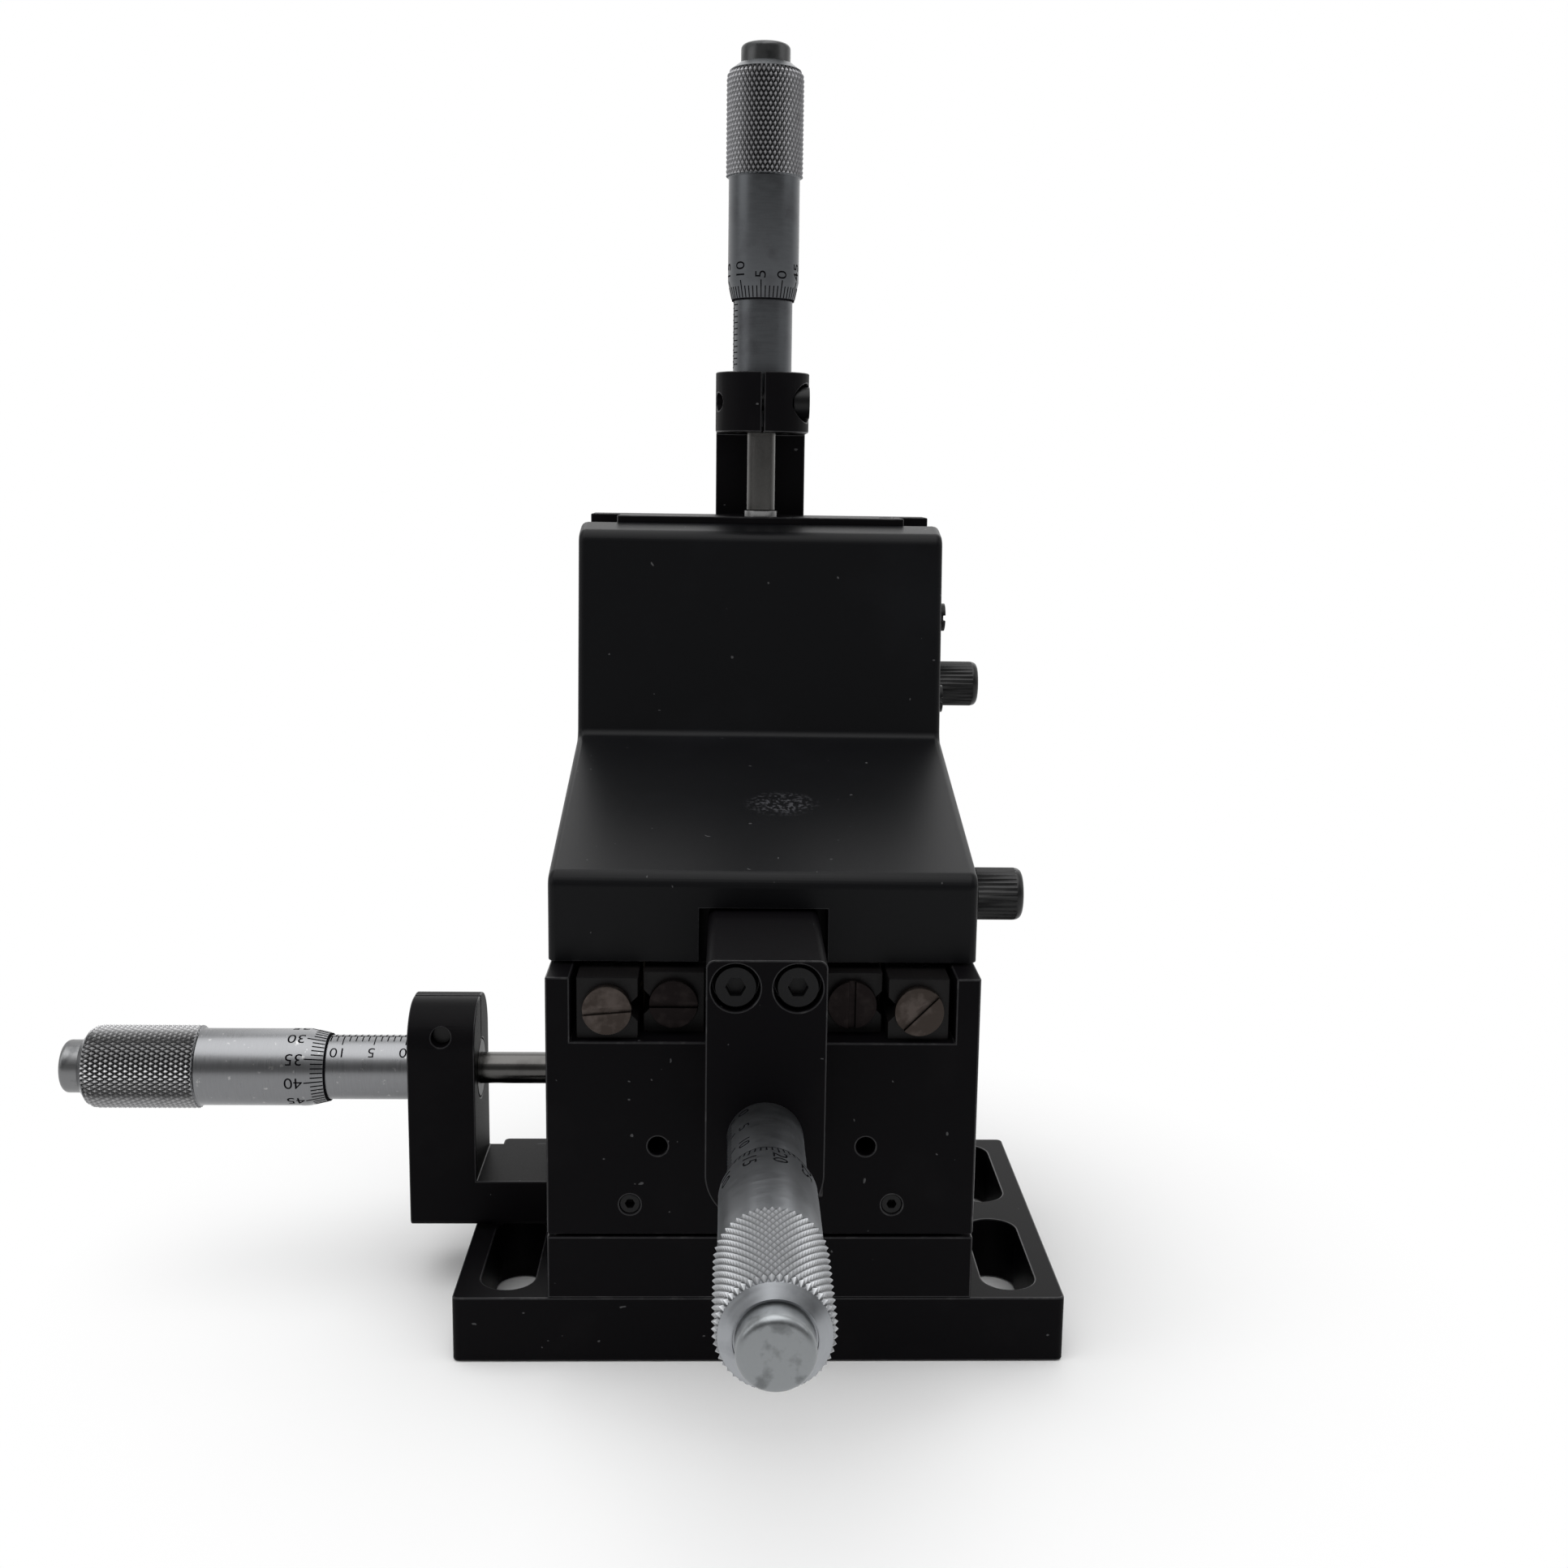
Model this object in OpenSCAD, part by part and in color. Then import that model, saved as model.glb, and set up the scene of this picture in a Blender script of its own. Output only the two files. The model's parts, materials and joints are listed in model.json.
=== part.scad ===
// Five-axis optical mount: three micrometer slides and two fine rotations on a slotted base plate.
// The origin is the centre of the base plate's underside. X runs to the right, Y to the rear, Z up.

/* [Base] */
// Width of the base plate
base_w = 90; // [88:0.5:110]
// Thickness of the base plate
base_h = 10; // [8:0.5:14]
// Radius of the base plate's upright corners
base_corner_r = 1; // [0.5:0.25:3]
// Width of a fixing slot
slot_w = 8; // [5:0.5:8]
// Length of a fixing slot, end to end
slot_l = 25; // [16:1:26]
// Distance between the left and the right slots
slot_pitch_x = 75; // [74:0.25:77]
// Distance between the front and the rear slots
slot_pitch_y = 32; // [30:0.5:33]

/* [Slides] */
// Width of the X and Y slides
stage_w = 62; // [61:0.5:64]
// Depth of the X and Y slides
stage_d = 62.5; // [61:0.5:66]
// Height of the fixed plate of the X slide
plate_h = 9.5; // [9:0.25:12]
// Height of the block between the X and Y slides
block_h = 38.5; // [37:0.5:44]
// Running gap between two plates of a slide
seam = 0.5; // [0.3:0.05:0.7]
// Gap between an outer rail and the wall beside it
rail_side_gap = 0.8; // [0.4:0.1:1]

/* [Rails of the X and Y slides] */
// Width of a rail
rail_w = 8.8; // [8:0.1:9]
// Height of a rail
rail_h = 9; // [8.4:0.1:9.4]
// Diameter of a roller
roller_d = 3; // [2.5:0.1:3.4]
// Distance between two facing rails
rail_gap = 0.6; // [0.5:0.05:0.8]
// Thickness of the block's walls beside the Y rails
side_wall_t = 3.5; // [3.4:0.1:4.5]
// Thickness of the block's walls beside the X rails
end_wall_t = 3.75; // [3.4:0.05:4.75]

/* [Rails of the Z slide] */
// Width of a Z rail
z_rail_w = 6.8; // [6.2:0.1:7]
// Height of a Z rail
z_rail_h = 7; // [6.4:0.1:7.4]
// Diameter of a Z roller
z_roller_d = 2; // [1.6:0.1:2.4]
// Half the width of the rib between the inner Z rails
z_rib_half = 3.5; // [3:0.1:3.8]

/* [Micrometer heads] */
// Diameter of the spindle
spindle_d = 5; // [4.4:0.1:5.4]
// Diameter of the stem that the clamp holds
stem_d = 9.5; // [9:0.1:10]
// Diameter of the graduated sleeve
sleeve_d = 10.2; // [10:0.1:10.4]
// Diameter of the plain thimble
thimble_d = 12.2; // [11.8:0.1:12.8]
// Diameter of the knurled grip
grip_d = 13.2; // [12.8:0.1:14.4]
// Length of the plain thimble
thimble_l = 20; // [19:0.5:24]
// Length of the knurled grip
grip_l = 18.6; // [17:0.1:22]
// Diameter of the end cap
cap_d = 8.4; // [7.4:0.1:9]
// Length of the end cap
cap_l = 3.2; // [3:0.1:6]
// Travel of a head
head_travel = 25; // [24.5:0.5:26]
// Reading of the X head at rest
x_reading = 12.6; // [11:0.1:13]
// Reading of the Y head at rest
y_reading = 15.4; // [14:0.1:16]
// Reading of the Z head at rest
z_reading = 11.5; // [10:0.1:12]

/* [Brackets] */
// Width of a bracket
bracket_w = 16; // [15.4:0.1:17]
// Thickness of the X bracket at its clamp
x_bracket_t = 10.5; // [9:0.5:12]
// Thickness of the Y bracket at its clamp
y_bracket_t = 10; // [9:0.5:12]
// Thickness of the Z bracket at its clamp
z_bracket_t = 10; // [9:0.5:12]
// Thickness of a bracket's arm
arm_t = 7.5; // [7:0.1:7.5]
// Distance from the head's axis to the clamp's free end
clamp_reach = 12; // [11:0.25:13]
// Radius of the clamp's free corners
clamp_r = 7; // [5:0.25:7.5]
// Width of the clamp's slit
slit_w = 0.4; // [0.3:0.1:1.2]
// Gap between the X bracket's clamp and the block
x_gap = 13.5; // [13.3:0.1:16]
// Gap between the Y bracket's clamp and the block
y_gap = 9; // [9:0.1:10]
// Gap between the Z bracket's clamp and its anvil
z_gap = 13.4; // [13.2:0.1:16]
// Height of the X head's axis above the fixed plate
x_axis_rise = 14.75; // [14:0.25:17]
// Distance from the fixed plate's top down to the X bracket's arm
x_arm_drop = 1.3; // [1:0.1:1.5]
// Depth of the Y head's axis below the Y carriage
y_axis_drop = 17; // [16:0.25:18]

/* [Upper unit] */
// Height of the Y carriage plate
carriage_h = 11; // [10.5:0.25:12]
// Length of the Y carriage plate
carriage_l = 53; // [50:0.5:54]
// Gap between the Y carriage plate and the knee's skirts
carriage_side_gap = 3.05; // [2.5:0.05:4]
// Place of the Y carriage's front, behind the block's front
carriage_back = 9.75; // [9:0.25:11]
// How far the inner Y rails reach before the Y carriage
inner_rail_over = 5; // [4:0.25:6]
// Gap between the cover's lip and the Y carriage
lip_gap = 2; // [1.8:0.1:3]
// Thickness of the thrust washers
washer_t = 0.4; // [0.3:0.05:0.6]
// Distance from the Y carriage's rear to the knee's rear face
knee_over = 6.5; // [6:0.25:8]
// Lever arm of the yaw screw
yaw_arm = 16; // [15:0.25:17]
// Lever arm of the roll screw
roll_arm = 15.8; // [15:0.1:17]
// Height of the roll pivot above the Y carriage's underside
roll_rise = 17; // [16.5:0.25:18]

/* [Cover] */
// Thickness of the cover's sheet
sheet_t = 0.8; // [0.6:0.05:1]
// Height of the cover's front lip
lip_h = 12.8; // [12.6:0.1:14]
// Rise of the cover's slope
slope_rise = 12.7; // [11.5:0.1:14]
// Height of the cover's column face
face_h = 34.3; // [33:0.1:36]
// Lean of the cover's column face to the rear
face_lean = 4; // [3:0.1:4.5]
// Depth of the cover's top flange
flange_l = 6; // [5:0.1:7]
// Rise of the cover's top flange
flange_rise = 1.5; // [1:0.1:2]
// Radius of the cover's bends
bend_r = 2.5; // [1.5:0.1:3]

/* [Z slide] */
// Height of the Z column
column_h = 61.1; // [60:0.1:64]
// Thickness of the Z column's walls beside its rails
column_wall_t = 6.6; // [6.2:0.1:7]
// Thickness of the Z column behind its rails
web_t = 4.6; // [4.4:0.1:6]
// How far the load plate's sides stay behind the slides' sides
load_side_in = 0.5; // [0.2:0.1:2]
// Thickness of the Z load plate
load_t = 8.5; // [8:0.1:12]
// Distance from the load plate's sides to its outer tapped holes
load_hole_in = 5.5; // [5:0.1:7]

/* [Knobs] */
// Diameter of a knob
knob_d = 8; // [7:0.1:9]
// Length of a knob
knob_l = 7.5; // [7:0.1:12]
// Diameter of a knob's screw
knob_screw_d = 4; // [3.6:0.1:4.4]

/* [Hidden] */
$fn = 48;

// Overrun of every cut, and the clearances between fitted pieces
cut = 1;
fit = 0.03;
slip = 0.1;
arc_steps = 8;

// Heights of the base, the X slide and the Y slide
plate_z0 = base_h;
plate_z1 = plate_z0 + plate_h;
block_z0 = plate_z1 + seam;
block_z1 = block_z0 + block_h;
x_ceiling = block_z0 + rail_h;
y_floor = block_z1 - seam - rail_h;
carriage_z0 = block_z1 + seam;
carriage_z1 = carriage_z0 + carriage_h;

// Rails: half-width of the rib, over the inner pair, over the outer pair and of the channel
channel_half = stage_w / 2 - side_wall_t;
outer_half = channel_half - rail_side_gap;
inner_half = outer_half - rail_w - rail_gap;
rib_half = inner_half - rail_w;
x_channel_half = stage_d / 2 - end_wall_t;
x_outer_half = x_channel_half - rail_side_gap;
x_inner_half = x_outer_half - rail_w - rail_gap;
x_rib_half = x_inner_half - rail_w;
z_inner_half = z_rib_half + z_rail_w;
z_outer_half = z_inner_half + rail_gap + z_rail_w;
z_channel_half = z_outer_half + rail_side_gap - slip;
column_half = z_channel_half + column_wall_t;
rail_inset = 1.6;
rail_end_gap = 0.4;
roller_fit = 0.04;
cage_t = 0.3;
cage_margin = 0.75;
cage_hole_share = 1.54;
roller_step_share = 5 / 3;
x_cage_l = 47;
y_cage_l = 40;
z_cage_l = 21;
x_rail_l = stage_w - rail_inset;
y_rail_l = stage_d - 2 * rail_inset;
bolt_spread_shares = [-0.35, 0, 0.35];

// Screws: M3 socket cap screws for rails and brackets, M4 for the base
m3_d = 2.9;
m3_hole_d = 3;
m3_head_d = 5.4;
m3_head_h = 2.8;
m3_bite = 6;
m3_free_d = 3.3;
bore_d = 6.5;
m4_d = 3.9;
m4_hole_d = 4;
m4_head_d = 7;
m4_head_h = 4;
m4_bite = 6.5;
m4_free_d = 4.4;
hex_share = 0.5;
hex_deep_share = 0.55;
rail_head_d = 5;
rail_head_h = 2.4;
base_screw_x = 25;
base_screw_y = 22;

// Front and side screws of the block
end_screw_d = 7.1;
end_screw_h = 1.35;
end_slot_w = 0.9;
end_slot_h = 0.6;
end_slot_turns = [5, 45];
end_slot_inner_turns = [0, 90];
end_stem_l = 5;
set_screw_x = 19;
set_screw_recess = 0.3;
front_hole_x = 15;
front_hole_rise = 13.4;
front_hole_d = 2.8;
front_hole_l = 8;
side_screw_y = 11;
side_screw_rise = 23.8;
side_head_d = 4.2;
side_head_h = 0.3;
anvil_d = 6;
anvil_l = 2.5;

// Return springs in their grooves
groove_half = 2.75;
groove_h = 7.5;
spring_d = 4.2;
spring_wire = 0.6;
peg_d = 2.5;
peg_tip_gap = 0.9;
x_peg = 12;
x_groove_x0 = -27;
x_groove_x1 = 15;
y_peg = -11;
y_groove_y0 = -27.7;
y_groove_y1 = 15;
spring_seat = 0.1;
x_spring_z = x_ceiling + groove_h / 2;
y_spring_z = block_z0 + side_screw_rise;
block_peg_tip = x_ceiling + peg_tip_gap;

// Micrometer heads, along their own axis from the clamp's outer face
rim_d = 10.9;
rim_l = 2.9;
zero_mark = 1.1;
sleeve_spare = 3;
guide_end = -1.5;
thread_d = 6.9;
thread_bore_d = 7.2;
nut_l = 5;
thimble_bore_l = 33;
tang_d = 3.5;
tang_spare = 0.5;
spigot_d = 5;
spigot_l = 2;
cap_round = 0.8;
grip_round = 1.6;
sleeve_l = zero_mark + head_travel + sleeve_spare;
spindle_tip_gap = 0.5;

// Brackets
corner_r = 1.2;
clamp_screw_out = 7.4;
clamp_tap_l = 6;
bracket_screw_x = 4.1;
bracket_head_deep = 3.3;
x_arm_l = x_gap;
y_arm_l = y_gap + carriage_back;
x_axis_z = plate_z1 + x_axis_rise;
y_axis_z = carriage_z0 - y_axis_drop;
x_face = -stage_w / 2 - x_gap - x_bracket_t;
y_face = -stage_d / 2 - y_gap - y_bracket_t;

// Upper unit
knee_nose = 6;
cover_side_gap = 0.25;
cover_lift = 0.4;
skirt_t = 4.3;
yaw_screw_rise = 7.2;
carriage_y0 = -stage_d / 2 + carriage_back;
carriage_y1 = carriage_y0 + carriage_l;
pivot_y = (carriage_y0 + carriage_y1) / 2;
knee_y1 = carriage_y1 + knee_over;
knee_y0 = pivot_y - yaw_arm - knee_nose;
cover_half = stage_w / 2 + cover_side_gap;
knee_half = cover_half - sheet_t - slip;
skirt_half = knee_half - skirt_t;
carriage_half = skirt_half - carriage_side_gap;
knee_z0 = carriage_z1 + washer_t;
roll_z = carriage_z0 + roll_rise;
yaw_screw_y = pivot_y - yaw_arm;
yaw_screw_z = carriage_z0 + yaw_screw_rise;

// Pivot pins and their washers
yaw_pin_d = 10;
yaw_stub_d = 8;
yaw_stub_l = 8;
yaw_head_d = 14;
yaw_head_h = 1.6;
yaw_floor_t = 3.6;
roll_pin_d = 8;
roll_stud_d = 6;
roll_stud_l = 8;
roll_head_d = 12;
roll_head_h = 2.1;
roll_pocket_h = 2.4;
head_room = 0.3;
washer_over = 5;

// T-slots that hold the pads of the yaw and roll screws
neck_d = 2.4;
neck_room = 0.3;
slot_lip_t = 1.4;
slot_deep = 2.3;
pad_d = 4.4;
pad_t = 1.8;
pad_room = 0.3;
pad_skin_t = 0.2;
pad_travel = 1.8;
knob_round = 1;
knob_gap = 0.8;
ear_gap = 1.5;
ear_reach = 4.5;
ear_half_h = 7.8;

// Z slide
column_lift = 1.3;
load_drop = 0.3;
load_top_drop = 0.1;
top_wall_t = 3.9;
z_axis_in = 4.2;
z_anvil_d = 5.7;
z_anvil_up = 1;
z_anvil_down = 3;
rib_room = 1.2;
roll_screw_in = 5;
load_w = stage_w - 2 * load_side_in;
load_pitch = load_w - 2 * load_hole_in;
load_inner_pitch = load_pitch / 2;
load_hole_d = 3.3;
load_hole_l = 6;
z_bolt_d = 2.4;
z_bolt_hole_d = 2.5;
z_bolt_free_d = 2.8;
z_bolt_head_d = 4.2;
z_bolt_head_h = 2.1;
z_bolt_bite = 3.4;
column_y0 = knee_y1 + washer_t;
column_y1 = column_y0 + web_t + z_rail_h;
column_z0 = carriage_z0 + column_lift;
column_z1 = column_z0 + column_h;
z_floor = column_y0 + web_t;
channel_top = column_z1 - top_wall_t;
z_down = z_gap - zero_mark;
rib_z0 = block_z1 + z_down + rib_room;
rib_z1 = channel_top - z_reading - seam;
load_y0 = column_y1 + seam;
load_y1 = load_y0 + load_t;
load_z0 = column_z0 - load_drop;
load_z1 = column_z1 - load_top_drop;
load_mid = (load_z0 + load_z1) / 2;
z_axis_y = column_y0 + z_axis_in;
z_face = column_z1 + z_anvil_up + z_gap + z_bracket_t;
z_arm_l = z_face - z_bracket_t - load_z1;
roll_screw_y = column_y1 - roll_screw_in;
roll_screw_z = roll_z + roll_arm;
z_rail_z0 = column_z0 + rail_end_gap;
z_rail_z1 = channel_top - rail_end_gap;

// Rails of the Y slide along Y, and the middle of its cages
y_inner_y0 = carriage_y0 - inner_rail_over;
y_inner_y1 = carriage_y1 - rail_inset;
y_cage_y = pivot_y - 5 * seam;

// Cover, and the two screws on its right side
cover_z0 = block_z1 + cover_lift;
cover_y0 = carriage_y0 - lip_gap - sheet_t;
notch_room = 1.35;
notch_lift = 0.4;
cover_screw_in = 3;
cover_screw_drops = [14.1, 28.4];
pan_d = 4.8;
pan_h = 0.9;
pan_slot_w = 0.9;
pan_slot_h = 0.4;
cover_screw_l = 5;
cover_hole_d = 4.6;
lip_corner = [cover_y0, cover_z0 + lip_h];
slope_corner = [knee_y1 - flange_l - face_lean, lip_corner[1] + slope_rise];
face_corner = [knee_y1 - flange_l, slope_corner[1] + face_h];
flange_end = [knee_y1, face_corner[1] + flange_rise];
cover_path = [[cover_y0, cover_z0], lip_corner, slope_corner, face_corner, flange_end];

// Unit vector, and the normal on the right-hand side of a direction
function unit(v) = v / norm(v);
function right_of(u) = [u[1], -u[0]];

// An open path moved inwards by d, its corners kept sharp
function inset_path(path, d) = [
    for (i = [0:len(path) - 1])
        let (
            a = right_of(unit(i == 0 ? path[1] - path[0] : path[i] - path[i - 1])),
            b = right_of(unit(i == len(path) - 1 ? path[i] - path[i - 1] : path[i + 1] - path[i]))
        )
        path[i] + d * (a + b) / (1 + a * b)
];

// The points of an arc of radius r that rounds the corner at b between a and c
function corner_arc(a, b, c, r) =
    let (
        u = unit(a - b),
        v = unit(c - b),
        half = acos(u * v) / 2,
        centre = b + unit(u + v) * r / sin(half),
        from = b + u * r / tan(half) - centre,
        to = b + v * r / tan(half) - centre,
        start = atan2(from[1], from[0]),
        turn = atan2(to[1], to[0]) - start,
        sweep = turn > 180 ? turn - 360 : (turn < -180 ? turn + 360 : turn)
    )
    [for (i = [0:arc_steps]) let (t = start + sweep * i / arc_steps) centre + r * [cos(t), sin(t)]];

// An open path with its inner corners rounded, each with its own radius
function round_path(path, radii) = [
    for (i = [0:len(path) - 1])
        each (i == 0 || i == len(path) - 1
            ? [path[i]]
            : corner_arc(path[i - 1], path[i], path[i + 1], radii[i - 1]))
];

// Depth of the V groove that holds half a roller
function groove_deep(roller) = roller / sqrt(2) - rail_gap / 2;

// Shapes that repeat

module rod(d, l) { cylinder(d = d, h = l); }

module block_at(x0, x1, y0, y1, z0, z1) {
    translate([x0, y0, z0]) cube([x1 - x0, y1 - y0, z1 - z0]);
}

// Profile in Y and Z, drawn out along X from x0 to x1
module along_x(x0, x1) {
    translate([x0, 0, 0]) rotate([90, 0, 90]) linear_extrude(x1 - x0) children();
}

module rounded_rect(w, d, r) {
    square([w - 2 * r, d], center = true);
    square([w, d - 2 * r], center = true);
    for (x = [-1, 1], y = [-1, 1])
        translate([x * (w / 2 - r), y * (d / 2 - r)]) circle(r);
}

module long_slot(w, l) {
    square([w, l - w], center = true);
    for (y = [-1, 1]) translate([0, y * (l - w) / 2]) circle(d = w);
}

// A socket cap screw whose head's top is at the origin and whose shank points down
module cap_screw(d, l, head_d, head_h) {
    difference() {
        union() {
            translate([0, 0, -head_h]) rod(head_d, head_h);
            translate([0, 0, -head_h - l]) rod(d, head_h / 2 + l);
        }
        translate([0, 0, -head_h * hex_deep_share])
            cylinder(d = head_d * hex_share, h = head_h, $fn = 6);
    }
}

// Places in a slide's own frame: x across the slide, y up from the fixed seat, z along the travel
module as_x_slide() { translate([0, 0, block_z0]) rotate([90, 0, 90]) children(); }
module as_y_slide() { translate([0, 0, y_floor]) rotate([90, 0, 0]) children(); }
module as_z_slide() { translate([0, z_floor, 0]) children(); }

// Middle of a rail's bolts across the slide, for the inner or the outer rail
function bolt_x(rib, w, roller, outer) =
    outer ? rib + 2 * w + rail_gap - (w - groove_deep(roller)) / 2
          : rib + (w - groove_deep(roller)) / 2;

// Places of the bolts along a rail from z0 to z1
function bolt_places(z0, z1) = [for (s = bolt_spread_shares) (z0 + z1) / 2 + s * (z1 - z0)];

// Two facing-out or facing-in rails with V grooves and counterbored bolt holes
module rails(rib, w, h, roller, outer, z0, z1, seat_low, free_d, head_d, head_h) {
    v = groove_deep(roller);
    face = outer ? rib + w + rail_gap : rib + w;
    back = outer ? face + w : rib;
    grip = outer ? 1 : -1;
    head_y = seat_low ? h - head_h - fit : -cut;
    for (side = [-1, 1]) difference() {
        translate([0, 0, z0]) linear_extrude(z1 - z0) polygon([
            [side * back, 0], [side * face, 0], [side * face, h / 2 - v],
            [side * (face + grip * v), h / 2], [side * face, h / 2 + v],
            [side * face, h], [side * back, h]
        ]);
        for (z = bolt_places(z0, z1)) translate([side * bolt_x(rib, w, roller, outer), 0, z]) {
            translate([0, -cut, 0]) rotate([-90, 0, 0]) rod(free_d, h + 2 * cut);
            translate([0, head_y, 0]) rotate([-90, 0, 0]) rod(head_d + head_room, head_h + fit + cut);
        }
    }
}

// The bolts of a pair of rails
module rail_bolts(rib, w, h, roller, outer, z0, z1, seat_low, d, bite, head_d, head_h) {
    for (side = [-1, 1], z = bolt_places(z0, z1))
        translate([side * bolt_x(rib, w, roller, outer), seat_low ? h : 0, z])
            rotate([seat_low ? -90 : 90, 0, 0])
                cap_screw(d, h - head_h + bite, head_d, head_h);
}

// The tapped holes that those bolts enter
module rail_taps(rib, w, h, roller, outer, z0, z1, seat_low, hole_d, bite) {
    for (side = [-1, 1], z = bolt_places(z0, z1))
        translate([side * bolt_x(rib, w, roller, outer), seat_low ? -bite - fit : h - cut, z])
            rotate([-90, 0, 0]) rod(hole_d, bite + fit + cut);
}

// Two cage strips with their crossed rollers, centred on the travel place z
module roller_cages(inner, h, roller, l, z) {
    step = roller * roller_step_share;
    count = floor((l - step) / step) + 1;
    first = z - (count - 1) * step / 2;
    for (side = [-1, 1]) {
        x = side * (inner + rail_gap / 2);
        difference() {
            block_at(x - cage_t / 2, x + cage_t / 2, cage_margin, h - cage_margin, z - l / 2, z + l / 2);
            for (i = [0:count - 1]) translate([x - cut, h / 2, first + i * step])
                rotate([0, 90, 0]) rod(roller * cage_hole_share, 2 * cut);
        }
        for (i = [0:count - 1]) translate([x, h / 2, first + i * step])
            rotate([90, 0, i % 2 == 0 ? 45 : -45])
                cylinder(d = roller - roller_fit, h = roller - slip, center = true);
    }
}

// A round pin with a screwdriver slot across its head, its head's face at the origin
module slotted_screw(head_d, head_h, stem_d, stem_l, slot_w, slot_h, turn) {
    difference() {
        union() {
            translate([0, 0, -head_h]) rod(head_d, head_h);
            translate([0, 0, -head_h - stem_l]) rod(stem_d, stem_l + head_h / 2);
        }
        rotate([0, 0, turn]) translate([-head_d, -slot_w / 2, -slot_h])
            cube([2 * head_d, slot_w, slot_h + cut]);
    }
}

// A straight tube that stands for a close-wound spring, from the origin along Z
module spring_tube(l) {
    difference() {
        rod(spring_d, l);
        translate([0, 0, -cut]) rod(spring_d - 2 * spring_wire, l + 2 * cut);
    }
}

// Micrometer heads and brackets in a head's own frame:
// the origin is on the axis at the clamp's outer face, z points to the end cap,
// y to the clamp's free end

module at_x_head() { translate([x_face, 0, x_axis_z]) rotate([90, 0, -90]) children(); }
module at_y_head() { translate([0, y_face, y_axis_z]) rotate([90, 180, 0]) children(); }
module at_z_head() { translate([0, z_axis_y, z_face]) rotate([0, 0, 180]) children(); }

module head_sleeve(clamp_t) {
    difference() {
        union() {
            translate([0, 0, -clamp_t]) rod(stem_d, clamp_t + cut);
            rod(sleeve_d, sleeve_l);
        }
        translate([0, 0, -clamp_t - cut]) rod(spindle_d + 2 * fit, clamp_t + sleeve_l);
        translate([0, 0, guide_end]) rod(thread_bore_d, sleeve_l - nut_l - guide_end);
        translate([0, 0, guide_end]) rod(thread_d + 2 * fit, sleeve_l + cut - guide_end);
    }
}

module head_spindle(clamp_t, gap, reading) {
    rim = zero_mark + reading;
    thread_z0 = reading + guide_end + spindle_tip_gap;
    thread_z1 = rim + thimble_bore_l - spindle_tip_gap;
    translate([0, 0, -clamp_t - gap]) rod(spindle_d, clamp_t + gap + thread_z0 + cut);
    translate([0, 0, thread_z0]) rod(thread_d, thread_z1 - thread_z0);
    translate([0, 0, thread_z1 - cut])
        rod(tang_d, rim + thimble_l + grip_l - spigot_l - tang_spare - thread_z1 + cut);
}

module head_thimble(reading) {
    l = thimble_l + grip_l;
    translate([0, 0, zero_mark + reading]) rotate_extrude() polygon([
        [sleeve_d / 2 + slip, 0], [rim_d / 2, 0], [thimble_d / 2, rim_l],
        [thimble_d / 2, thimble_l - slip], [grip_d / 2, thimble_l + slip],
        [grip_d / 2, l - grip_round], [grip_d / 2 - grip_round, l],
        [spigot_d / 2, l], [spigot_d / 2, l - spigot_l], [tang_d / 2 + fit, l - spigot_l],
        [tang_d / 2 + fit, thimble_bore_l], [sleeve_d / 2 + slip, thimble_bore_l]
    ]);
}

module head_cap(reading) {
    l = thimble_l + grip_l;
    translate([0, 0, zero_mark + reading + l]) {
        translate([0, 0, -spigot_l + fit]) rod(spigot_d - 2 * fit, spigot_l);
        rod(cap_d, cap_l - cap_round);
        translate([0, 0, cap_l - cap_round])
            cylinder(d1 = cap_d, d2 = cap_d - cap_round, h = cap_round);
    }
}

// A strip of the bracket's width from y0 to y1 whose corners have the radii r0 and r1
module bracket_section(y0, y1, r0, r1) {
    half = bracket_w / 2;
    translate([-half, y0 + r0]) square([bracket_w, y1 - r1 - y0 - r0]);
    translate([r0 - half, y0]) square([bracket_w - 2 * r0, (y1 - y0) / 2]);
    translate([r1 - half, (y0 + y1) / 2]) square([bracket_w - 2 * r1, (y1 - y0) / 2]);
    for (x = [-1, 1]) {
        translate([x * (half - r0), y0 + r0]) circle(r0);
        translate([x * (half - r1), y1 - r1]) circle(r1);
    }
}

// The L-shaped bracket of a head: a split clamp and an arm that reaches back
module head_bracket(clamp_t, back, arm_l) {
    screw_y = -back + arm_t / 2;
    difference() {
        union() {
            translate([0, 0, -clamp_t]) linear_extrude(clamp_t)
                bracket_section(-back, clamp_reach, corner_r, clamp_r);
            translate([0, 0, -clamp_t - arm_l]) linear_extrude(arm_l + clamp_t / 2) {
                bracket_section(-back, -back + arm_t, corner_r, corner_r);
                translate([-bracket_w / 2, -back + arm_t / 2]) square([bracket_w, arm_t / 2]);
            }
        }
        translate([0, 0, -clamp_t - cut]) rod(stem_d + 2 * fit, clamp_t + 2 * cut);
        block_at(-slit_w / 2, slit_w / 2, 0, clamp_reach + cut, -clamp_t - cut, cut);
        translate([0, clamp_screw_out, -clamp_t / 2]) rotate([0, 90, 0]) {
            rod(m3_hole_d, bracket_w);
            translate([0, 0, -bracket_w / 2 - cut]) rod(m3_free_d, bracket_w / 2 + cut);
            translate([0, 0, -bracket_w / 2 - cut]) rod(bore_d, m3_head_h + cut);
        }
        for (x = [-1, 1]) translate([x * bracket_screw_x, screw_y, 0]) {
            translate([0, 0, -clamp_t - arm_l - cut]) rod(m3_free_d, clamp_t + arm_l + 2 * cut);
            translate([0, 0, -bracket_head_deep]) rod(bore_d, bracket_head_deep + cut);
        }
    }
}

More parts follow.
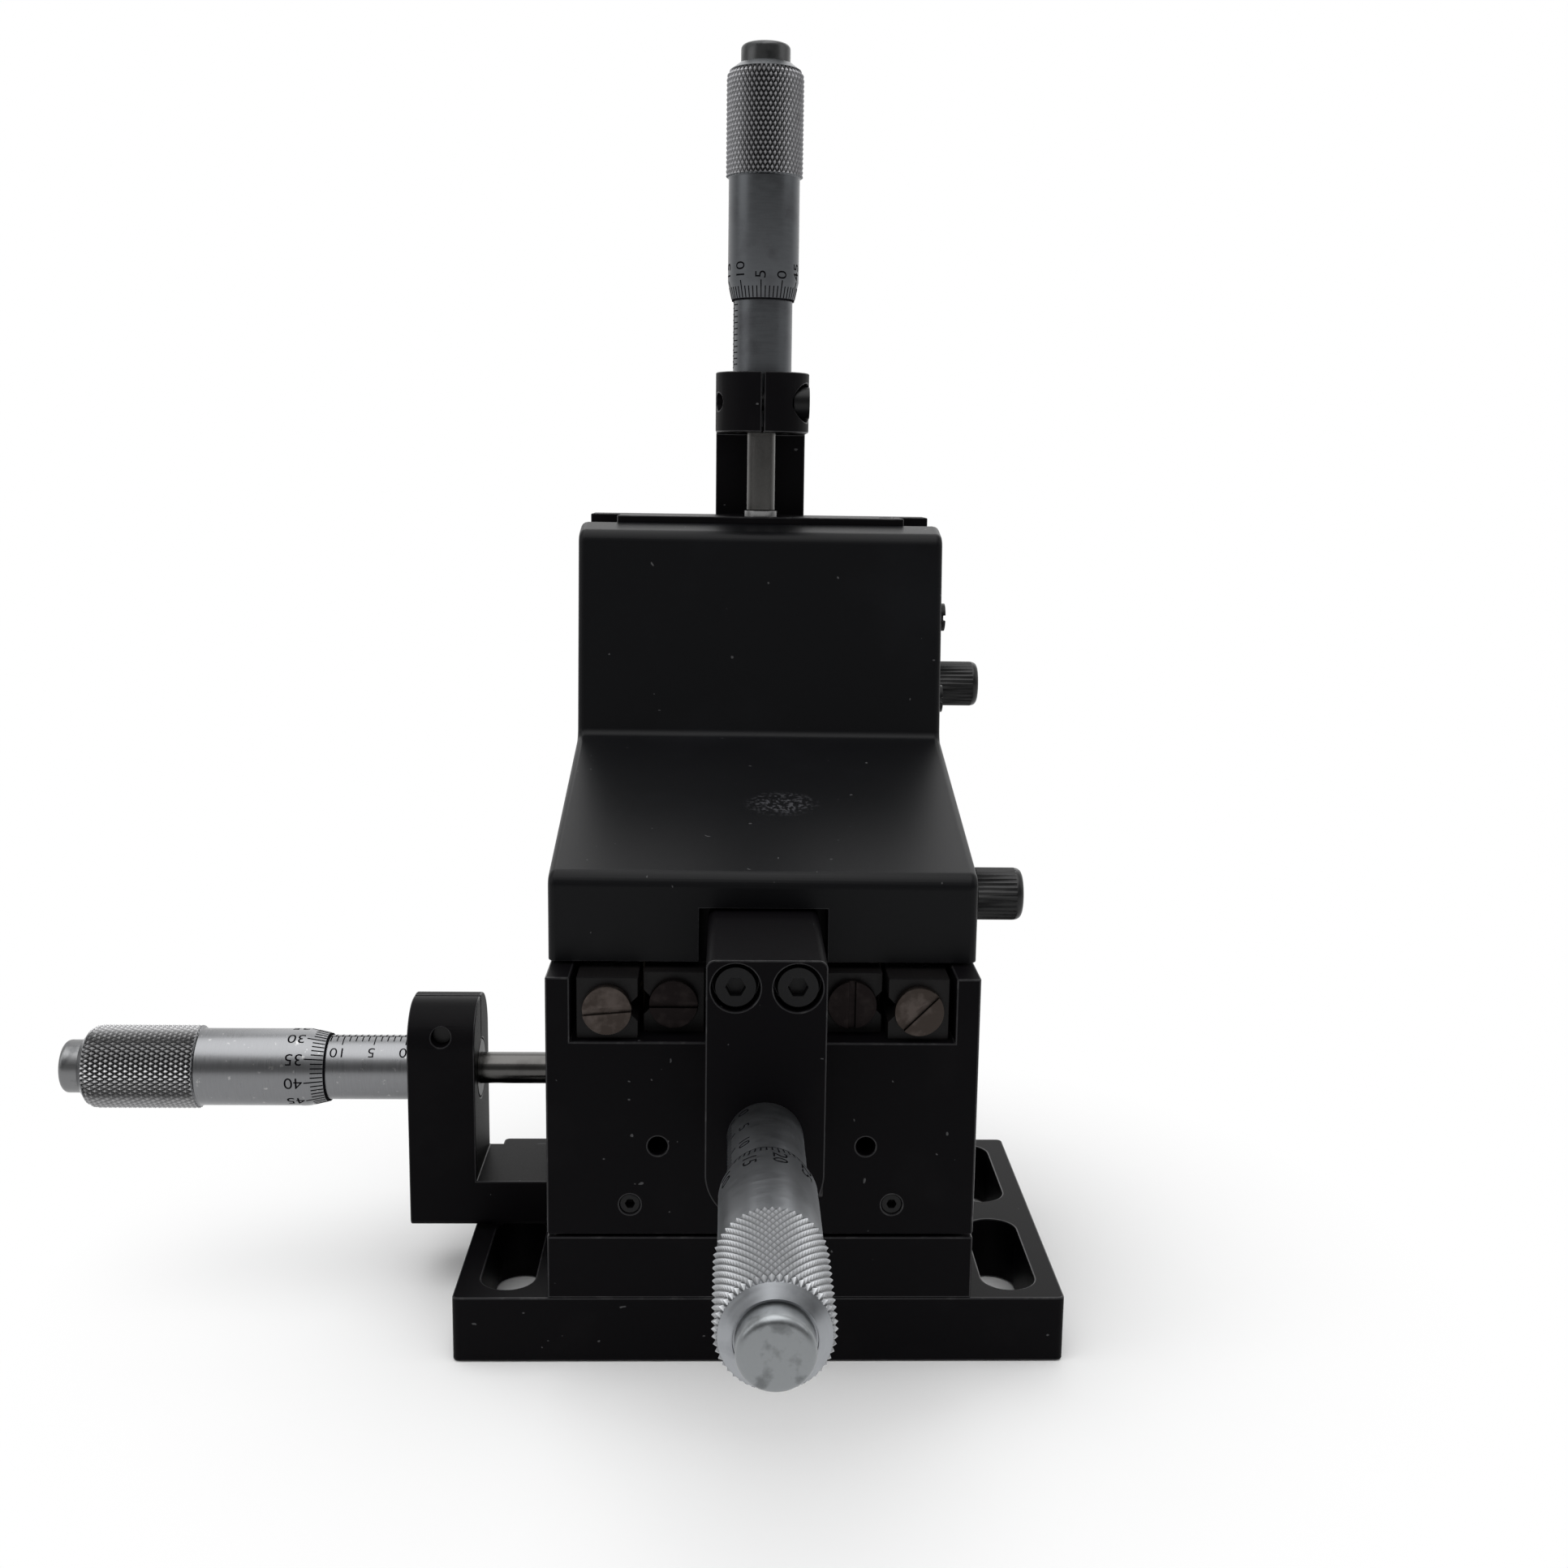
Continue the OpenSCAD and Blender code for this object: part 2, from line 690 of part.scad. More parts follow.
// The clamp screw and the two fixing screws of a bracket
module head_bracket_screws(clamp_t, back, arm_l) {
    translate([-bracket_w / 2 + fit, clamp_screw_out, -clamp_t / 2]) rotate([0, -90, 0])
        cap_screw(m3_d, bracket_w / 2 + clamp_tap_l - m3_head_h, m3_head_d, m3_head_h - 2 * fit);
    for (x = [-1, 1]) translate([x * bracket_screw_x, -back + arm_t / 2, m3_head_h - bracket_head_deep])
        cap_screw(m3_d, clamp_t - bracket_head_deep + arm_l + m3_bite, m3_head_d, m3_head_h);
}

// The tapped holes that a bracket's fixing screws enter
module head_bracket_taps(clamp_t, back, arm_l) {
    for (x = [-1, 1]) translate([x * bracket_screw_x, -back + arm_t / 2, -clamp_t - arm_l - m3_bite - slip])
        rod(m3_hole_d, m3_bite + slip + cut);
}

// Distance from a head's axis to the far side of its bracket's arm
x_back = x_axis_z - plate_z1 + x_arm_drop + arm_t;
y_back = carriage_z0 + arm_t - y_axis_z;
z_back = load_y1 - z_axis_y;

// A knurled knob with its screw and neck, along X at a height and depth; x is the slotted face
module side_knob(x, y, z) {
    head_x = cover_half + knob_gap;
    translate([0, y, z]) rotate([0, 90, 0]) {
        translate([0, 0, x - slot_lip_t - slot_deep + slip + 2 * pad_skin_t]) rod(neck_d, slot_lip_t + slot_deep);
        translate([0, 0, x + pad_room]) rod(knob_screw_d, head_x - x);
        translate([0, 0, head_x]) rod(knob_d, knob_l - knob_round);
        translate([0, 0, head_x + knob_l - knob_round])
            cylinder(d1 = knob_d, d2 = knob_d - 2 * knob_round, h = knob_round);
    }
}

// The disc on a knob's neck, held in a T-slot
module screw_pad(x, y, z) {
    translate([x - slot_lip_t - slot_deep + pad_skin_t, y, z]) rotate([0, 90, 0]) difference() {
        rod(pad_d, pad_t);
        translate([0, 0, pad_skin_t]) rod(neck_d + 2 * fit, pad_t);
    }
}

// A T-slot cut into the face at x, w and l are its extra room across and along
module t_slot(x, y0, y1, z0, z1, across_y) {
    neck = neck_d / 2 + neck_room;
    head = pad_d / 2 + pad_room;
    for (step = [[neck, -slot_lip_t - slip, cut], [head, -slot_lip_t - slot_deep, -slot_lip_t]])
        block_at(x + step[1], x + step[2],
            across_y ? y0 - step[0] : y0, across_y ? y0 + step[0] : y1,
            across_y ? z0 : z0 - step[0], across_y ? z1 : z0 + step[0]);
}

// Base and X slide

module base_plate() {
    color([0.06, 0.055, 0.06]) difference() {
        linear_extrude(base_h) rounded_rect(base_w, stage_d, base_corner_r);
        for (x = [-1, 1], y = [-1, 1]) translate([x * slot_pitch_x / 2, y * slot_pitch_y / 2, -cut])
            linear_extrude(base_h + 2 * cut) long_slot(slot_w, slot_l);
        for (x = [-1, 1], y = [-1, 1]) translate([x * base_screw_x, y * base_screw_y, -cut]) {
            rod(m4_free_d, base_h + 2 * cut);
            rod(m4_head_d + 2 * slip, m4_head_h + cut + slip);
        }
    }
}

module base_screws() {
    color([0.1, 0.1, 0.11]) for (x = [-1, 1], y = [-1, 1])
        translate([x * base_screw_x, y * base_screw_y, slip]) rotate([180, 0, 0])
            cap_screw(m4_d, base_h - m4_head_h - slip + m4_bite - slip, m4_head_d, m4_head_h);
}

module x_fixed_plate() {
    color([0.06, 0.055, 0.06]) difference() {
        union() {
            block_at(-stage_w / 2, stage_w / 2, -stage_d / 2, stage_d / 2, plate_z0, plate_z1);
            block_at(-x_rail_l / 2, x_rail_l / 2, -x_inner_half, x_inner_half, plate_z1 - cut, block_z0);
            block_at(-x_rail_l / 2, x_rail_l / 2, -x_rib_half, x_rib_half, plate_z1 - cut, x_ceiling - seam);
            translate([-x_peg, 0, x_ceiling - seam - cut])
                rod(peg_d, groove_h + seam + cut - peg_tip_gap);
        }
        for (x = [-1, 1], y = [-1, 1]) translate([x * base_screw_x, y * base_screw_y, plate_z0 - cut])
            rod(m4_hole_d, m4_bite + cut);
        as_x_slide() rail_taps(x_rib_half, rail_w, rail_h, roller_d, false,
            -x_rail_l / 2, x_rail_l / 2, true, m3_hole_d, m3_bite);
        at_x_head() head_bracket_taps(x_bracket_t, x_back, x_arm_l);
    }
}

module x_fixed_rails() {
    color([0.55, 0.55, 0.56]) as_x_slide() rails(x_rib_half, rail_w, rail_h, roller_d, false,
        -x_rail_l / 2, x_rail_l / 2, true, m3_free_d, rail_head_d, rail_head_h);
}

module x_fixed_rail_bolts() {
    color([0.1, 0.1, 0.11]) as_x_slide() rail_bolts(x_rib_half, rail_w, rail_h, roller_d, false,
        -x_rail_l / 2, x_rail_l / 2, true, m3_d, m3_bite, rail_head_d, rail_head_h);
}

module x_roller_cages() {
    color([0.7, 0.65, 0.5]) as_x_slide() roller_cages(x_inner_half, rail_h, roller_d, x_cage_l, 0);
}

// Block: X carriage below, bed of the Y slide above

module x_carriage_block() {
    color([0.06, 0.055, 0.06]) difference() {
        union() {
            difference() {
                block_at(-stage_w / 2, stage_w / 2, -stage_d / 2, stage_d / 2, block_z0, block_z1);
                block_at(-stage_w / 2 - cut, stage_w / 2 + cut, -x_channel_half, x_channel_half,
                    block_z0 - cut, x_ceiling);
                block_at(x_groove_x0, x_groove_x1, -groove_half, groove_half,
                    x_ceiling - cut, x_ceiling + groove_h);
                block_at(-channel_half, channel_half, -stage_d / 2 - cut, stage_d / 2 + cut,
                    y_floor, block_z1 + cut);
                block_at(-groove_half, groove_half, y_groove_y0, y_groove_y1,
                    y_floor - groove_h, y_floor + cut);
            }
            translate([x_peg, 0, block_peg_tip]) rod(peg_d, groove_h + cut - peg_tip_gap);
        }
        as_x_slide() rail_taps(x_rib_half, rail_w, rail_h, roller_d, true,
            -x_rail_l / 2, x_rail_l / 2, false, m3_hole_d, m3_bite);
        as_y_slide() rail_taps(rib_half, rail_w, rail_h, roller_d, true,
            -y_rail_l / 2, y_rail_l / 2, true, m3_hole_d, m3_bite);
        for (x = [-1, 1]) {
            translate([x * set_screw_x, -stage_d / 2 - cut, block_z0 + rail_h / 2]) rotate([-90, 0, 0])
                rod(m3_hole_d, stage_d / 2 + cut - x_channel_half + cut);
            translate([x * front_hole_x, -stage_d / 2 - cut, block_z0 + front_hole_rise])
                rotate([-90, 0, 0]) rod(front_hole_d, front_hole_l + cut);
        }
        translate([-2 * groove_half, side_screw_y, y_spring_z]) rotate([0, 90, 0])
            rod(m3_hole_d, stage_w);
        translate([-stage_w / 2 - cut, 0, x_axis_z]) rotate([0, 90, 0])
            rod(anvil_d + 2 * fit, anvil_l + cut);
        translate([0, -stage_d / 2 - cut, y_axis_z]) rotate([-90, 0, 0])
            rod(anvil_d + 2 * fit, anvil_l + cut);
    }
}

module x_moving_rails() {
    color([0.55, 0.55, 0.56]) as_x_slide() rails(x_rib_half, rail_w, rail_h, roller_d, true,
        -x_rail_l / 2, x_rail_l / 2, false, m3_free_d, rail_head_d, rail_head_h);
}

module y_fixed_rails() {
    color([0.3, 0.28, 0.28]) difference() {
        as_y_slide() rails(rib_half, rail_w, rail_h, roller_d, true,
            -y_rail_l / 2, y_rail_l / 2, true, m3_free_d, rail_head_d, rail_head_h);
        end_screws_at(outer_half - rail_w / 2, -y_rail_l / 2, y_rail_l / 2)
            translate([0, 0, -end_stem_l - slip]) rod(m3_hole_d, end_stem_l + cut);
    }
}

module block_rail_bolts() {
    color([0.1, 0.1, 0.11]) {
        as_x_slide() rail_bolts(x_rib_half, rail_w, rail_h, roller_d, true,
            -x_rail_l / 2, x_rail_l / 2, false, m3_d, m3_bite, rail_head_d, rail_head_h);
        as_y_slide() rail_bolts(rib_half, rail_w, rail_h, roller_d, true,
            -y_rail_l / 2, y_rail_l / 2, true, m3_d, m3_bite, rail_head_d, rail_head_h);
    }
}

// Places of the end screws of two rails that run from y0 to y1, z pointing out of each end
module end_screws_at(x, y0, y1) {
    for (side = [-1, 1]) {
        translate([side * x, y0, y_floor + rail_h / 2]) rotate([90, 0, 0]) children();
        translate([side * x, y1, y_floor + rail_h / 2]) rotate([-90, 0, 0]) children();
    }
}

module end_screw_pair(x, y0, y1, turns) {
    for (i = [0, 1]) {
        side = 2 * i - 1;
        translate([side * x, y0 - end_screw_h, y_floor + rail_h / 2]) rotate([90, 0, 0])
            slotted_screw(end_screw_d, end_screw_h, m3_d, end_stem_l, end_slot_w, end_slot_h, turns[i]);
        translate([side * x, y1 + end_screw_h, y_floor + rail_h / 2]) rotate([-90, 0, 0])
            slotted_screw(end_screw_d, end_screw_h, m3_d, end_stem_l, end_slot_w, end_slot_h, turns[i]);
    }
}

module block_end_screws() {
    color([0.25, 0.2, 0.18])
        end_screw_pair(outer_half - rail_w / 2, -y_rail_l / 2, y_rail_l / 2, end_slot_turns);
}

module block_set_screws() {
    l = stage_d / 2 - set_screw_recess - x_outer_half;
    color([0.2, 0.2, 0.21]) for (x = [-1, 1])
        translate([x * set_screw_x, -stage_d / 2 + set_screw_recess, block_z0 + rail_h / 2])
            rotate([90, 0, 0]) difference() {
                translate([0, 0, -l]) rod(m3_d, l);
                translate([0, 0, -l * hex_share]) cylinder(d = m3_d * hex_share, h = l, $fn = 6);
            }
}

module block_side_screw() {
    color([0.45, 0.45, 0.46]) translate([stage_w / 2 + side_head_h, side_screw_y, y_spring_z])
        rotate([0, 90, 0])
            slotted_screw(side_head_d, side_head_h, m3_d, stage_w / 2 + 2 * groove_half - slip,
                end_slot_w, side_head_h / 2, 0);
}

module x_anvil() {
    color([0.7, 0.7, 0.7]) translate([-stage_w / 2, 0, x_axis_z]) rotate([0, 90, 0]) rod(anvil_d, anvil_l);
}

module y_anvil() {
    color([0.7, 0.7, 0.7]) translate([0, -stage_d / 2, y_axis_z]) rotate([-90, 0, 0]) rod(anvil_d, anvil_l);
}

module x_return_spring() {
    color([0.5, 0.5, 0.5]) translate([-x_peg + peg_d / 2 + spring_seat, 0, x_spring_z]) rotate([0, 90, 0])
        spring_tube(2 * x_peg - peg_d - 2 * spring_seat);
}

// Y carriage

module y_roller_cages() {
    color([0.7, 0.65, 0.5]) as_y_slide() roller_cages(inner_half, rail_h, roller_d, y_cage_l, -y_cage_y);
}

module y_carriage() {
    color([0.08, 0.075, 0.08]) difference() {
        union() {
            block_at(-carriage_half, carriage_half, carriage_y0, carriage_y1, carriage_z0, carriage_z1);
            block_at(-inner_half, inner_half, carriage_y0, carriage_y1, block_z1 - seam, carriage_z0 + cut);
            block_at(-rib_half, rib_half, carriage_y0, carriage_y1, y_floor + seam, carriage_z0 + cut);
            translate([0, y_peg, y_floor - groove_h + peg_tip_gap])
                rod(peg_d, groove_h - peg_tip_gap + seam + cut);
        }
        as_y_slide() rail_taps(rib_half, rail_w, rail_h, roller_d, false,
            -y_inner_y1, -y_inner_y0, false, m3_hole_d, m3_bite);
        at_y_head() head_bracket_taps(y_bracket_t, y_back, y_arm_l);
        translate([0, pivot_y, carriage_z1 - yaw_stub_l - slip]) rod(yaw_stub_d + 2 * fit, yaw_stub_l + cut);
        t_slot(carriage_half, carriage_y0 - cut, yaw_screw_y + pad_d / 2 + pad_travel,
            yaw_screw_z, yaw_screw_z, false);
    }
}

module y_moving_rails() {
    color([0.3, 0.28, 0.28]) difference() {
        as_y_slide() rails(rib_half, rail_w, rail_h, roller_d, false,
            -y_inner_y1, -y_inner_y0, false, m3_free_d, rail_head_d, rail_head_h);
        end_screws_at(rib_half + rail_w / 2, y_inner_y0, y_inner_y1)
            translate([0, 0, -end_stem_l - slip]) rod(m3_hole_d, end_stem_l + cut);
    }
}

module y_moving_rail_bolts() {
    color([0.1, 0.1, 0.11]) as_y_slide() rail_bolts(rib_half, rail_w, rail_h, roller_d, false,
        -y_inner_y1, -y_inner_y0, false, m3_d, m3_bite, rail_head_d, rail_head_h);
}

module y_end_screws() {
    color([0.25, 0.2, 0.18])
        end_screw_pair(rib_half + rail_w / 2, y_inner_y0, y_inner_y1, end_slot_inner_turns);
}

module y_return_spring() {
    color([0.5, 0.5, 0.5]) translate([0, y_peg + peg_d / 2 + spring_seat, y_spring_z]) rotate([-90, 0, 0])
        spring_tube(side_screw_y - m3_d / 2 - y_peg - peg_d / 2 - 2 * spring_seat);
}

module yaw_pivot_pin() {
    color([0.6, 0.6, 0.6]) translate([0, pivot_y, carriage_z1]) {
        translate([0, 0, -yaw_stub_l]) rod(yaw_stub_d, yaw_stub_l + cut);
        rod(yaw_pin_d, washer_t + yaw_floor_t + slip);
        translate([0, 0, washer_t + yaw_floor_t + slip / 2]) rod(yaw_head_d, yaw_head_h);
    }
}

module yaw_washer() {
    color([0.85, 0.83, 0.78]) translate([0, pivot_y, carriage_z1]) difference() {
        rod(yaw_pin_d + 2 * washer_over, washer_t);
        translate([0, 0, -cut]) rod(yaw_pin_d + 2 * slip, washer_t + 2 * cut);
    }
}

// Knee: it turns about the yaw pin and carries the Z slide on the roll pin

knee_path = inset_path(cover_path, sheet_t + slip);
knee_slope = (knee_path[2][1] - knee_path[1][1]) / (knee_path[2][0] - knee_path[1][0]);
knee_lean = (knee_path[3][0] - knee_path[2][0]) / (knee_path[3][1] - knee_path[2][1]);
knee_front_z = knee_path[1][1] + (knee_y0 - knee_path[1][0]) * knee_slope;
knee_top = [knee_path[3][0] - bend_r * knee_lean, knee_path[3][1] - bend_r];

module knee() {
    color([0.08, 0.075, 0.08]) difference() {
        union() {
            along_x(-knee_half, knee_half) polygon([
                [knee_y0, knee_z0], [knee_y0, knee_front_z], knee_path[2], knee_top,
                [knee_y1, knee_top[1]], [knee_y1, knee_z0]
            ]);
            for (x = [-knee_half, skirt_half])
                block_at(x, x + skirt_t, knee_y0, knee_y1, cover_z0 + cover_lift, knee_z0 + cut);
            block_at(column_half + ear_gap, knee_half, knee_y1 - cut, roll_screw_y + ear_reach,
                roll_screw_z - ear_half_h, roll_screw_z + ear_half_h);
        }
        translate([0, pivot_y, knee_z0 - cut]) rod(yaw_pin_d + 2 * fit, yaw_floor_t + 2 * cut);
        translate([0, pivot_y, knee_z0 + yaw_floor_t]) rod(yaw_head_d + 2 * head_room, slope_rise + lip_h);
        translate([0, knee_y1 - roll_stud_l - slip, roll_z]) rotate([-90, 0, 0])
            rod(roll_stud_d + 2 * fit, roll_stud_l + slip + cut);
        translate([skirt_half - cut, yaw_screw_y, yaw_screw_z]) rotate([0, 90, 0])
            rod(knob_screw_d + 2 * fit, skirt_t + 2 * cut);
        translate([column_half, roll_screw_y, roll_screw_z]) rotate([0, 90, 0])
            rod(knob_screw_d + 2 * fit, knee_half - column_half + cut);
        for (drop = cover_screw_drops)
            translate([knee_half - cover_screw_l, knee_y1 - cover_screw_in, face_corner[1] - drop])
                rotate([0, 90, 0]) rod(z_bolt_hole_d, cover_screw_l + cut);
    }
}

module cover() {
    inner = inset_path(concat(cover_path, [flange_end + cut * unit(flange_end - face_corner)]), sheet_t);
    last = inner[len(inner) - 1];
    color([0.1, 0.1, 0.11]) difference() {
        along_x(-cover_half, cover_half) polygon(concat(
            round_path(cover_path, [bend_r, bend_r - sheet_t, bend_r]), [[knee_y1, cover_z0]]
        ));
        along_x(-cover_half + sheet_t, cover_half - sheet_t) polygon(concat(
            [[inner[0][0], cover_z0 - cut]],
            round_path([inner[0], inner[1], inner[2], inner[3], last],
                [bend_r - sheet_t, bend_r, bend_r - sheet_t]),
            [[last[0], cover_z0 - cut]]
        ));
        block_at(-bracket_w / 2 - notch_room, bracket_w / 2 + notch_room, cover_y0 - cut, cover_y0 + bend_r,
            cover_z0 - cut, carriage_z0 + arm_t + notch_lift);
        translate([cover_half - sheet_t - cut, yaw_screw_y, yaw_screw_z]) rotate([0, 90, 0])
            rod(cover_hole_d, sheet_t + 2 * cut);
        for (drop = cover_screw_drops)
            translate([cover_half - sheet_t - cut, knee_y1 - cover_screw_in, face_corner[1] - drop])
                rotate([0, 90, 0]) rod(z_bolt_free_d, sheet_t + 2 * cut);
    }
}

module cover_screws() {
    color([0.2, 0.2, 0.21]) for (drop = cover_screw_drops)
        translate([cover_half + pan_h, knee_y1 - cover_screw_in, face_corner[1] - drop])
            rotate([0, 90, 0])
                slotted_screw(pan_d, pan_h, z_bolt_d, cover_screw_l, pan_slot_w, pan_slot_h, 90);
}

module roll_pivot_pin() {
    color([0.6, 0.6, 0.6]) translate([0, knee_y1, roll_z]) rotate([-90, 0, 0]) {
        shoulder = washer_t + web_t - roll_pocket_h + slip / 2;
        translate([0, 0, -roll_stud_l]) rod(roll_stud_d, roll_stud_l + cut);
        rod(roll_pin_d, shoulder + cut);
        translate([0, 0, shoulder]) rod(roll_head_d, roll_head_h);
    }
}

module roll_washer() {
    color([0.85, 0.83, 0.78]) translate([0, knee_y1, roll_z]) rotate([-90, 0, 0]) difference() {
        rod(roll_pin_d + 2 * washer_over, washer_t);
        translate([0, 0, -cut]) rod(roll_pin_d + 2 * slip, washer_t + 2 * cut);
    }
}

module yaw_knob() { color([0.05, 0.05, 0.05]) side_knob(carriage_half, yaw_screw_y, yaw_screw_z); }
module yaw_pad() { color([0.7, 0.6, 0.3]) screw_pad(carriage_half, yaw_screw_y, yaw_screw_z); }
module roll_knob() { color([0.05, 0.05, 0.05]) side_knob(column_half, roll_screw_y, roll_screw_z); }
module roll_pad() { color([0.7, 0.6, 0.3]) screw_pad(column_half, roll_screw_y, roll_screw_z); }

// Z slide

module z_column() {
    color([0.08, 0.075, 0.08]) difference() {
        block_at(-column_half, column_half, column_y0, column_y1, column_z0, column_z1);
        block_at(-z_channel_half, z_channel_half, z_floor, column_y1 + cut, column_z0 - cut, channel_top);
        translate([0, column_y0 - cut, roll_z]) rotate([-90, 0, 0]) rod(roll_pin_d + 2 * fit, web_t + 2 * cut);
        translate([0, z_floor - roll_pocket_h, roll_z]) rotate([-90, 0, 0])
            rod(roll_head_d + 2 * head_room, roll_pocket_h + cut);
        translate([0, z_axis_y, column_z1 - z_anvil_down]) rod(z_anvil_d + 2 * fit, z_anvil_down + cut);
        as_z_slide() rail_taps(z_rib_half, z_rail_w, z_rail_h, z_roller_d, true,
            z_rail_z0, z_rail_z1, true, z_bolt_hole_d, z_bolt_bite);
        t_slot(column_half, roll_screw_y, roll_screw_y,
            roll_screw_z - pad_d / 2 - pad_travel, column_z1 + cut, true);
    }
}

module z_anvil() {
    color([0.7, 0.7, 0.7]) translate([0, z_axis_y, column_z1 - z_anvil_down])
        rod(z_anvil_d, z_anvil_down + z_anvil_up);
}

module z_fixed_rails() {
    color([0.55, 0.55, 0.56]) as_z_slide() rails(z_rib_half, z_rail_w, z_rail_h, z_roller_d, true,
        z_rail_z0, z_rail_z1, true, z_bolt_free_d, z_bolt_head_d, z_bolt_head_h);
}

module z_fixed_rail_bolts() {
    color([0.1, 0.1, 0.11]) as_z_slide() rail_bolts(z_rib_half, z_rail_w, z_rail_h, z_roller_d, true,
        z_rail_z0, z_rail_z1, true, z_bolt_d, z_bolt_bite, z_bolt_head_d, z_bolt_head_h);
}

module z_roller_cages() {
    color([0.7, 0.65, 0.5]) as_z_slide()
        roller_cages(z_inner_half, z_rail_h, z_roller_d, z_cage_l, (rib_z0 + rib_z1) / 2);
}

module z_load_plate() {
    color([0.07, 0.065, 0.07]) difference() {
        union() {
            block_at(-load_w / 2, load_w / 2, load_y0, load_y1, load_z0, load_z1);
            block_at(-z_inner_half, z_inner_half, column_y1, load_y0 + cut, rib_z0, rib_z1);
            block_at(-z_rib_half, z_rib_half, z_floor + seam, load_y0 + cut, rib_z0, rib_z1);
        }
        as_z_slide() rail_taps(z_rib_half, z_rail_w, z_rail_h, z_roller_d, false,
            rib_z0, rib_z1, false, z_bolt_hole_d, z_bolt_bite);
        for (pitch = [load_pitch, load_inner_pitch], x = [-1, 1], z = [-1, 1])
            translate([x * pitch / 2, load_y1 - load_hole_l, load_mid + z * pitch / 2])
                rotate([-90, 0, 0]) rod(load_hole_d, load_hole_l + cut);
        at_z_head() head_bracket_taps(z_bracket_t, z_back, z_arm_l);
    }
}

module z_moving_rails() {
    color([0.55, 0.55, 0.56]) as_z_slide() rails(z_rib_half, z_rail_w, z_rail_h, z_roller_d, false,
        rib_z0, rib_z1, false, z_bolt_free_d, z_bolt_head_d, z_bolt_head_h);
}

module z_moving_rail_bolts() {
    color([0.1, 0.1, 0.11]) as_z_slide() rail_bolts(z_rib_half, z_rail_w, z_rail_h, z_roller_d, false,
        rib_z0, rib_z1, false, z_bolt_d, z_bolt_bite, z_bolt_head_d, z_bolt_head_h);
}

// Brackets and heads in place

module x_bracket() { color([0.06, 0.055, 0.06]) at_x_head() head_bracket(x_bracket_t, x_back, x_arm_l); }
module y_bracket() { color([0.06, 0.055, 0.06]) at_y_head() head_bracket(y_bracket_t, y_back, y_arm_l); }
module z_bracket() { color([0.06, 0.055, 0.06]) at_z_head() head_bracket(z_bracket_t, z_back, z_arm_l); }

module x_bracket_screws() {
    color([0.1, 0.1, 0.11]) at_x_head() head_bracket_screws(x_bracket_t, x_back, x_arm_l);
}

module y_bracket_screws() {
    color([0.1, 0.1, 0.11]) at_y_head() head_bracket_screws(y_bracket_t, y_back, y_arm_l);
}

module z_bracket_screws() {
    color([0.1, 0.1, 0.11]) at_z_head() head_bracket_screws(z_bracket_t, z_back, z_arm_l);
}

module x_sleeve() { color([0.75, 0.75, 0.76]) at_x_head() head_sleeve(x_bracket_t); }
module y_sleeve() { color([0.75, 0.75, 0.76]) at_y_head() head_sleeve(y_bracket_t); }
module z_sleeve() { color([0.75, 0.75, 0.76]) at_z_head() head_sleeve(z_bracket_t); }
module x_spindle() { color([0.7, 0.7, 0.7]) at_x_head() head_spindle(x_bracket_t, x_gap, x_reading); }
module y_spindle() { color([0.7, 0.7, 0.7]) at_y_head() head_spindle(y_bracket_t, y_gap, y_reading); }
module z_spindle() { color([0.7, 0.7, 0.7]) at_z_head() head_spindle(z_bracket_t, z_gap, z_reading); }
module x_thimble() { color([0.72, 0.72, 0.73]) at_x_head() head_thimble(x_reading); }
module y_thimble() { color([0.72, 0.72, 0.73]) at_y_head() head_thimble(y_reading); }
module z_thimble() { color([0.72, 0.72, 0.73]) at_z_head() head_thimble(z_reading); }
module x_end_cap() { color([0.74, 0.74, 0.75]) at_x_head() head_cap(x_reading); }
module y_end_cap() { color([0.74, 0.74, 0.75]) at_y_head() head_cap(y_reading); }
module z_end_cap() { color([0.74, 0.74, 0.75]) at_z_head() head_cap(z_reading); }

base_plate();
base_screws();
x_fixed_plate();
x_fixed_rails();
x_fixed_rail_bolts();
x_bracket();
x_bracket_screws();
x_sleeve();
x_spindle();
x_thimble();
x_end_cap();
x_roller_cages();
x_carriage_block();
x_moving_rails();
y_fixed_rails();
block_rail_bolts();
block_end_screws();
block_set_screws();
block_side_screw();
x_anvil();
y_anvil();
x_return_spring();
y_roller_cages();
y_carriage();
y_moving_rails();
y_moving_rail_bolts();
y_end_screws();
y_return_spring();
y_bracket();
y_bracket_screws();
y_sleeve();
y_spindle();
y_thimble();
y_end_cap();
yaw_pivot_pin();
yaw_washer();
knee();
cover();
cover_screws();
roll_pivot_pin();
roll_washer();
yaw_knob();
yaw_pad();
roll_knob();
roll_pad();
z_column();
z_anvil();
z_fixed_rails();
z_fixed_rail_bolts();
z_roller_cages();
z_load_plate();
z_moving_rails();
z_moving_rail_bolts();
z_bracket();
z_bracket_screws();
z_sleeve();
z_spindle();
z_thimble();
z_end_cap();
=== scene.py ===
"""Looks of a five-axis optical mount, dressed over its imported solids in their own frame."""

import json
import logging
import math
from collections.abc import Callable, Iterator
from contextlib import contextmanager
from dataclasses import dataclass, field
from enum import Enum

import bmesh
import bpy
from mathutils import Matrix, Vector


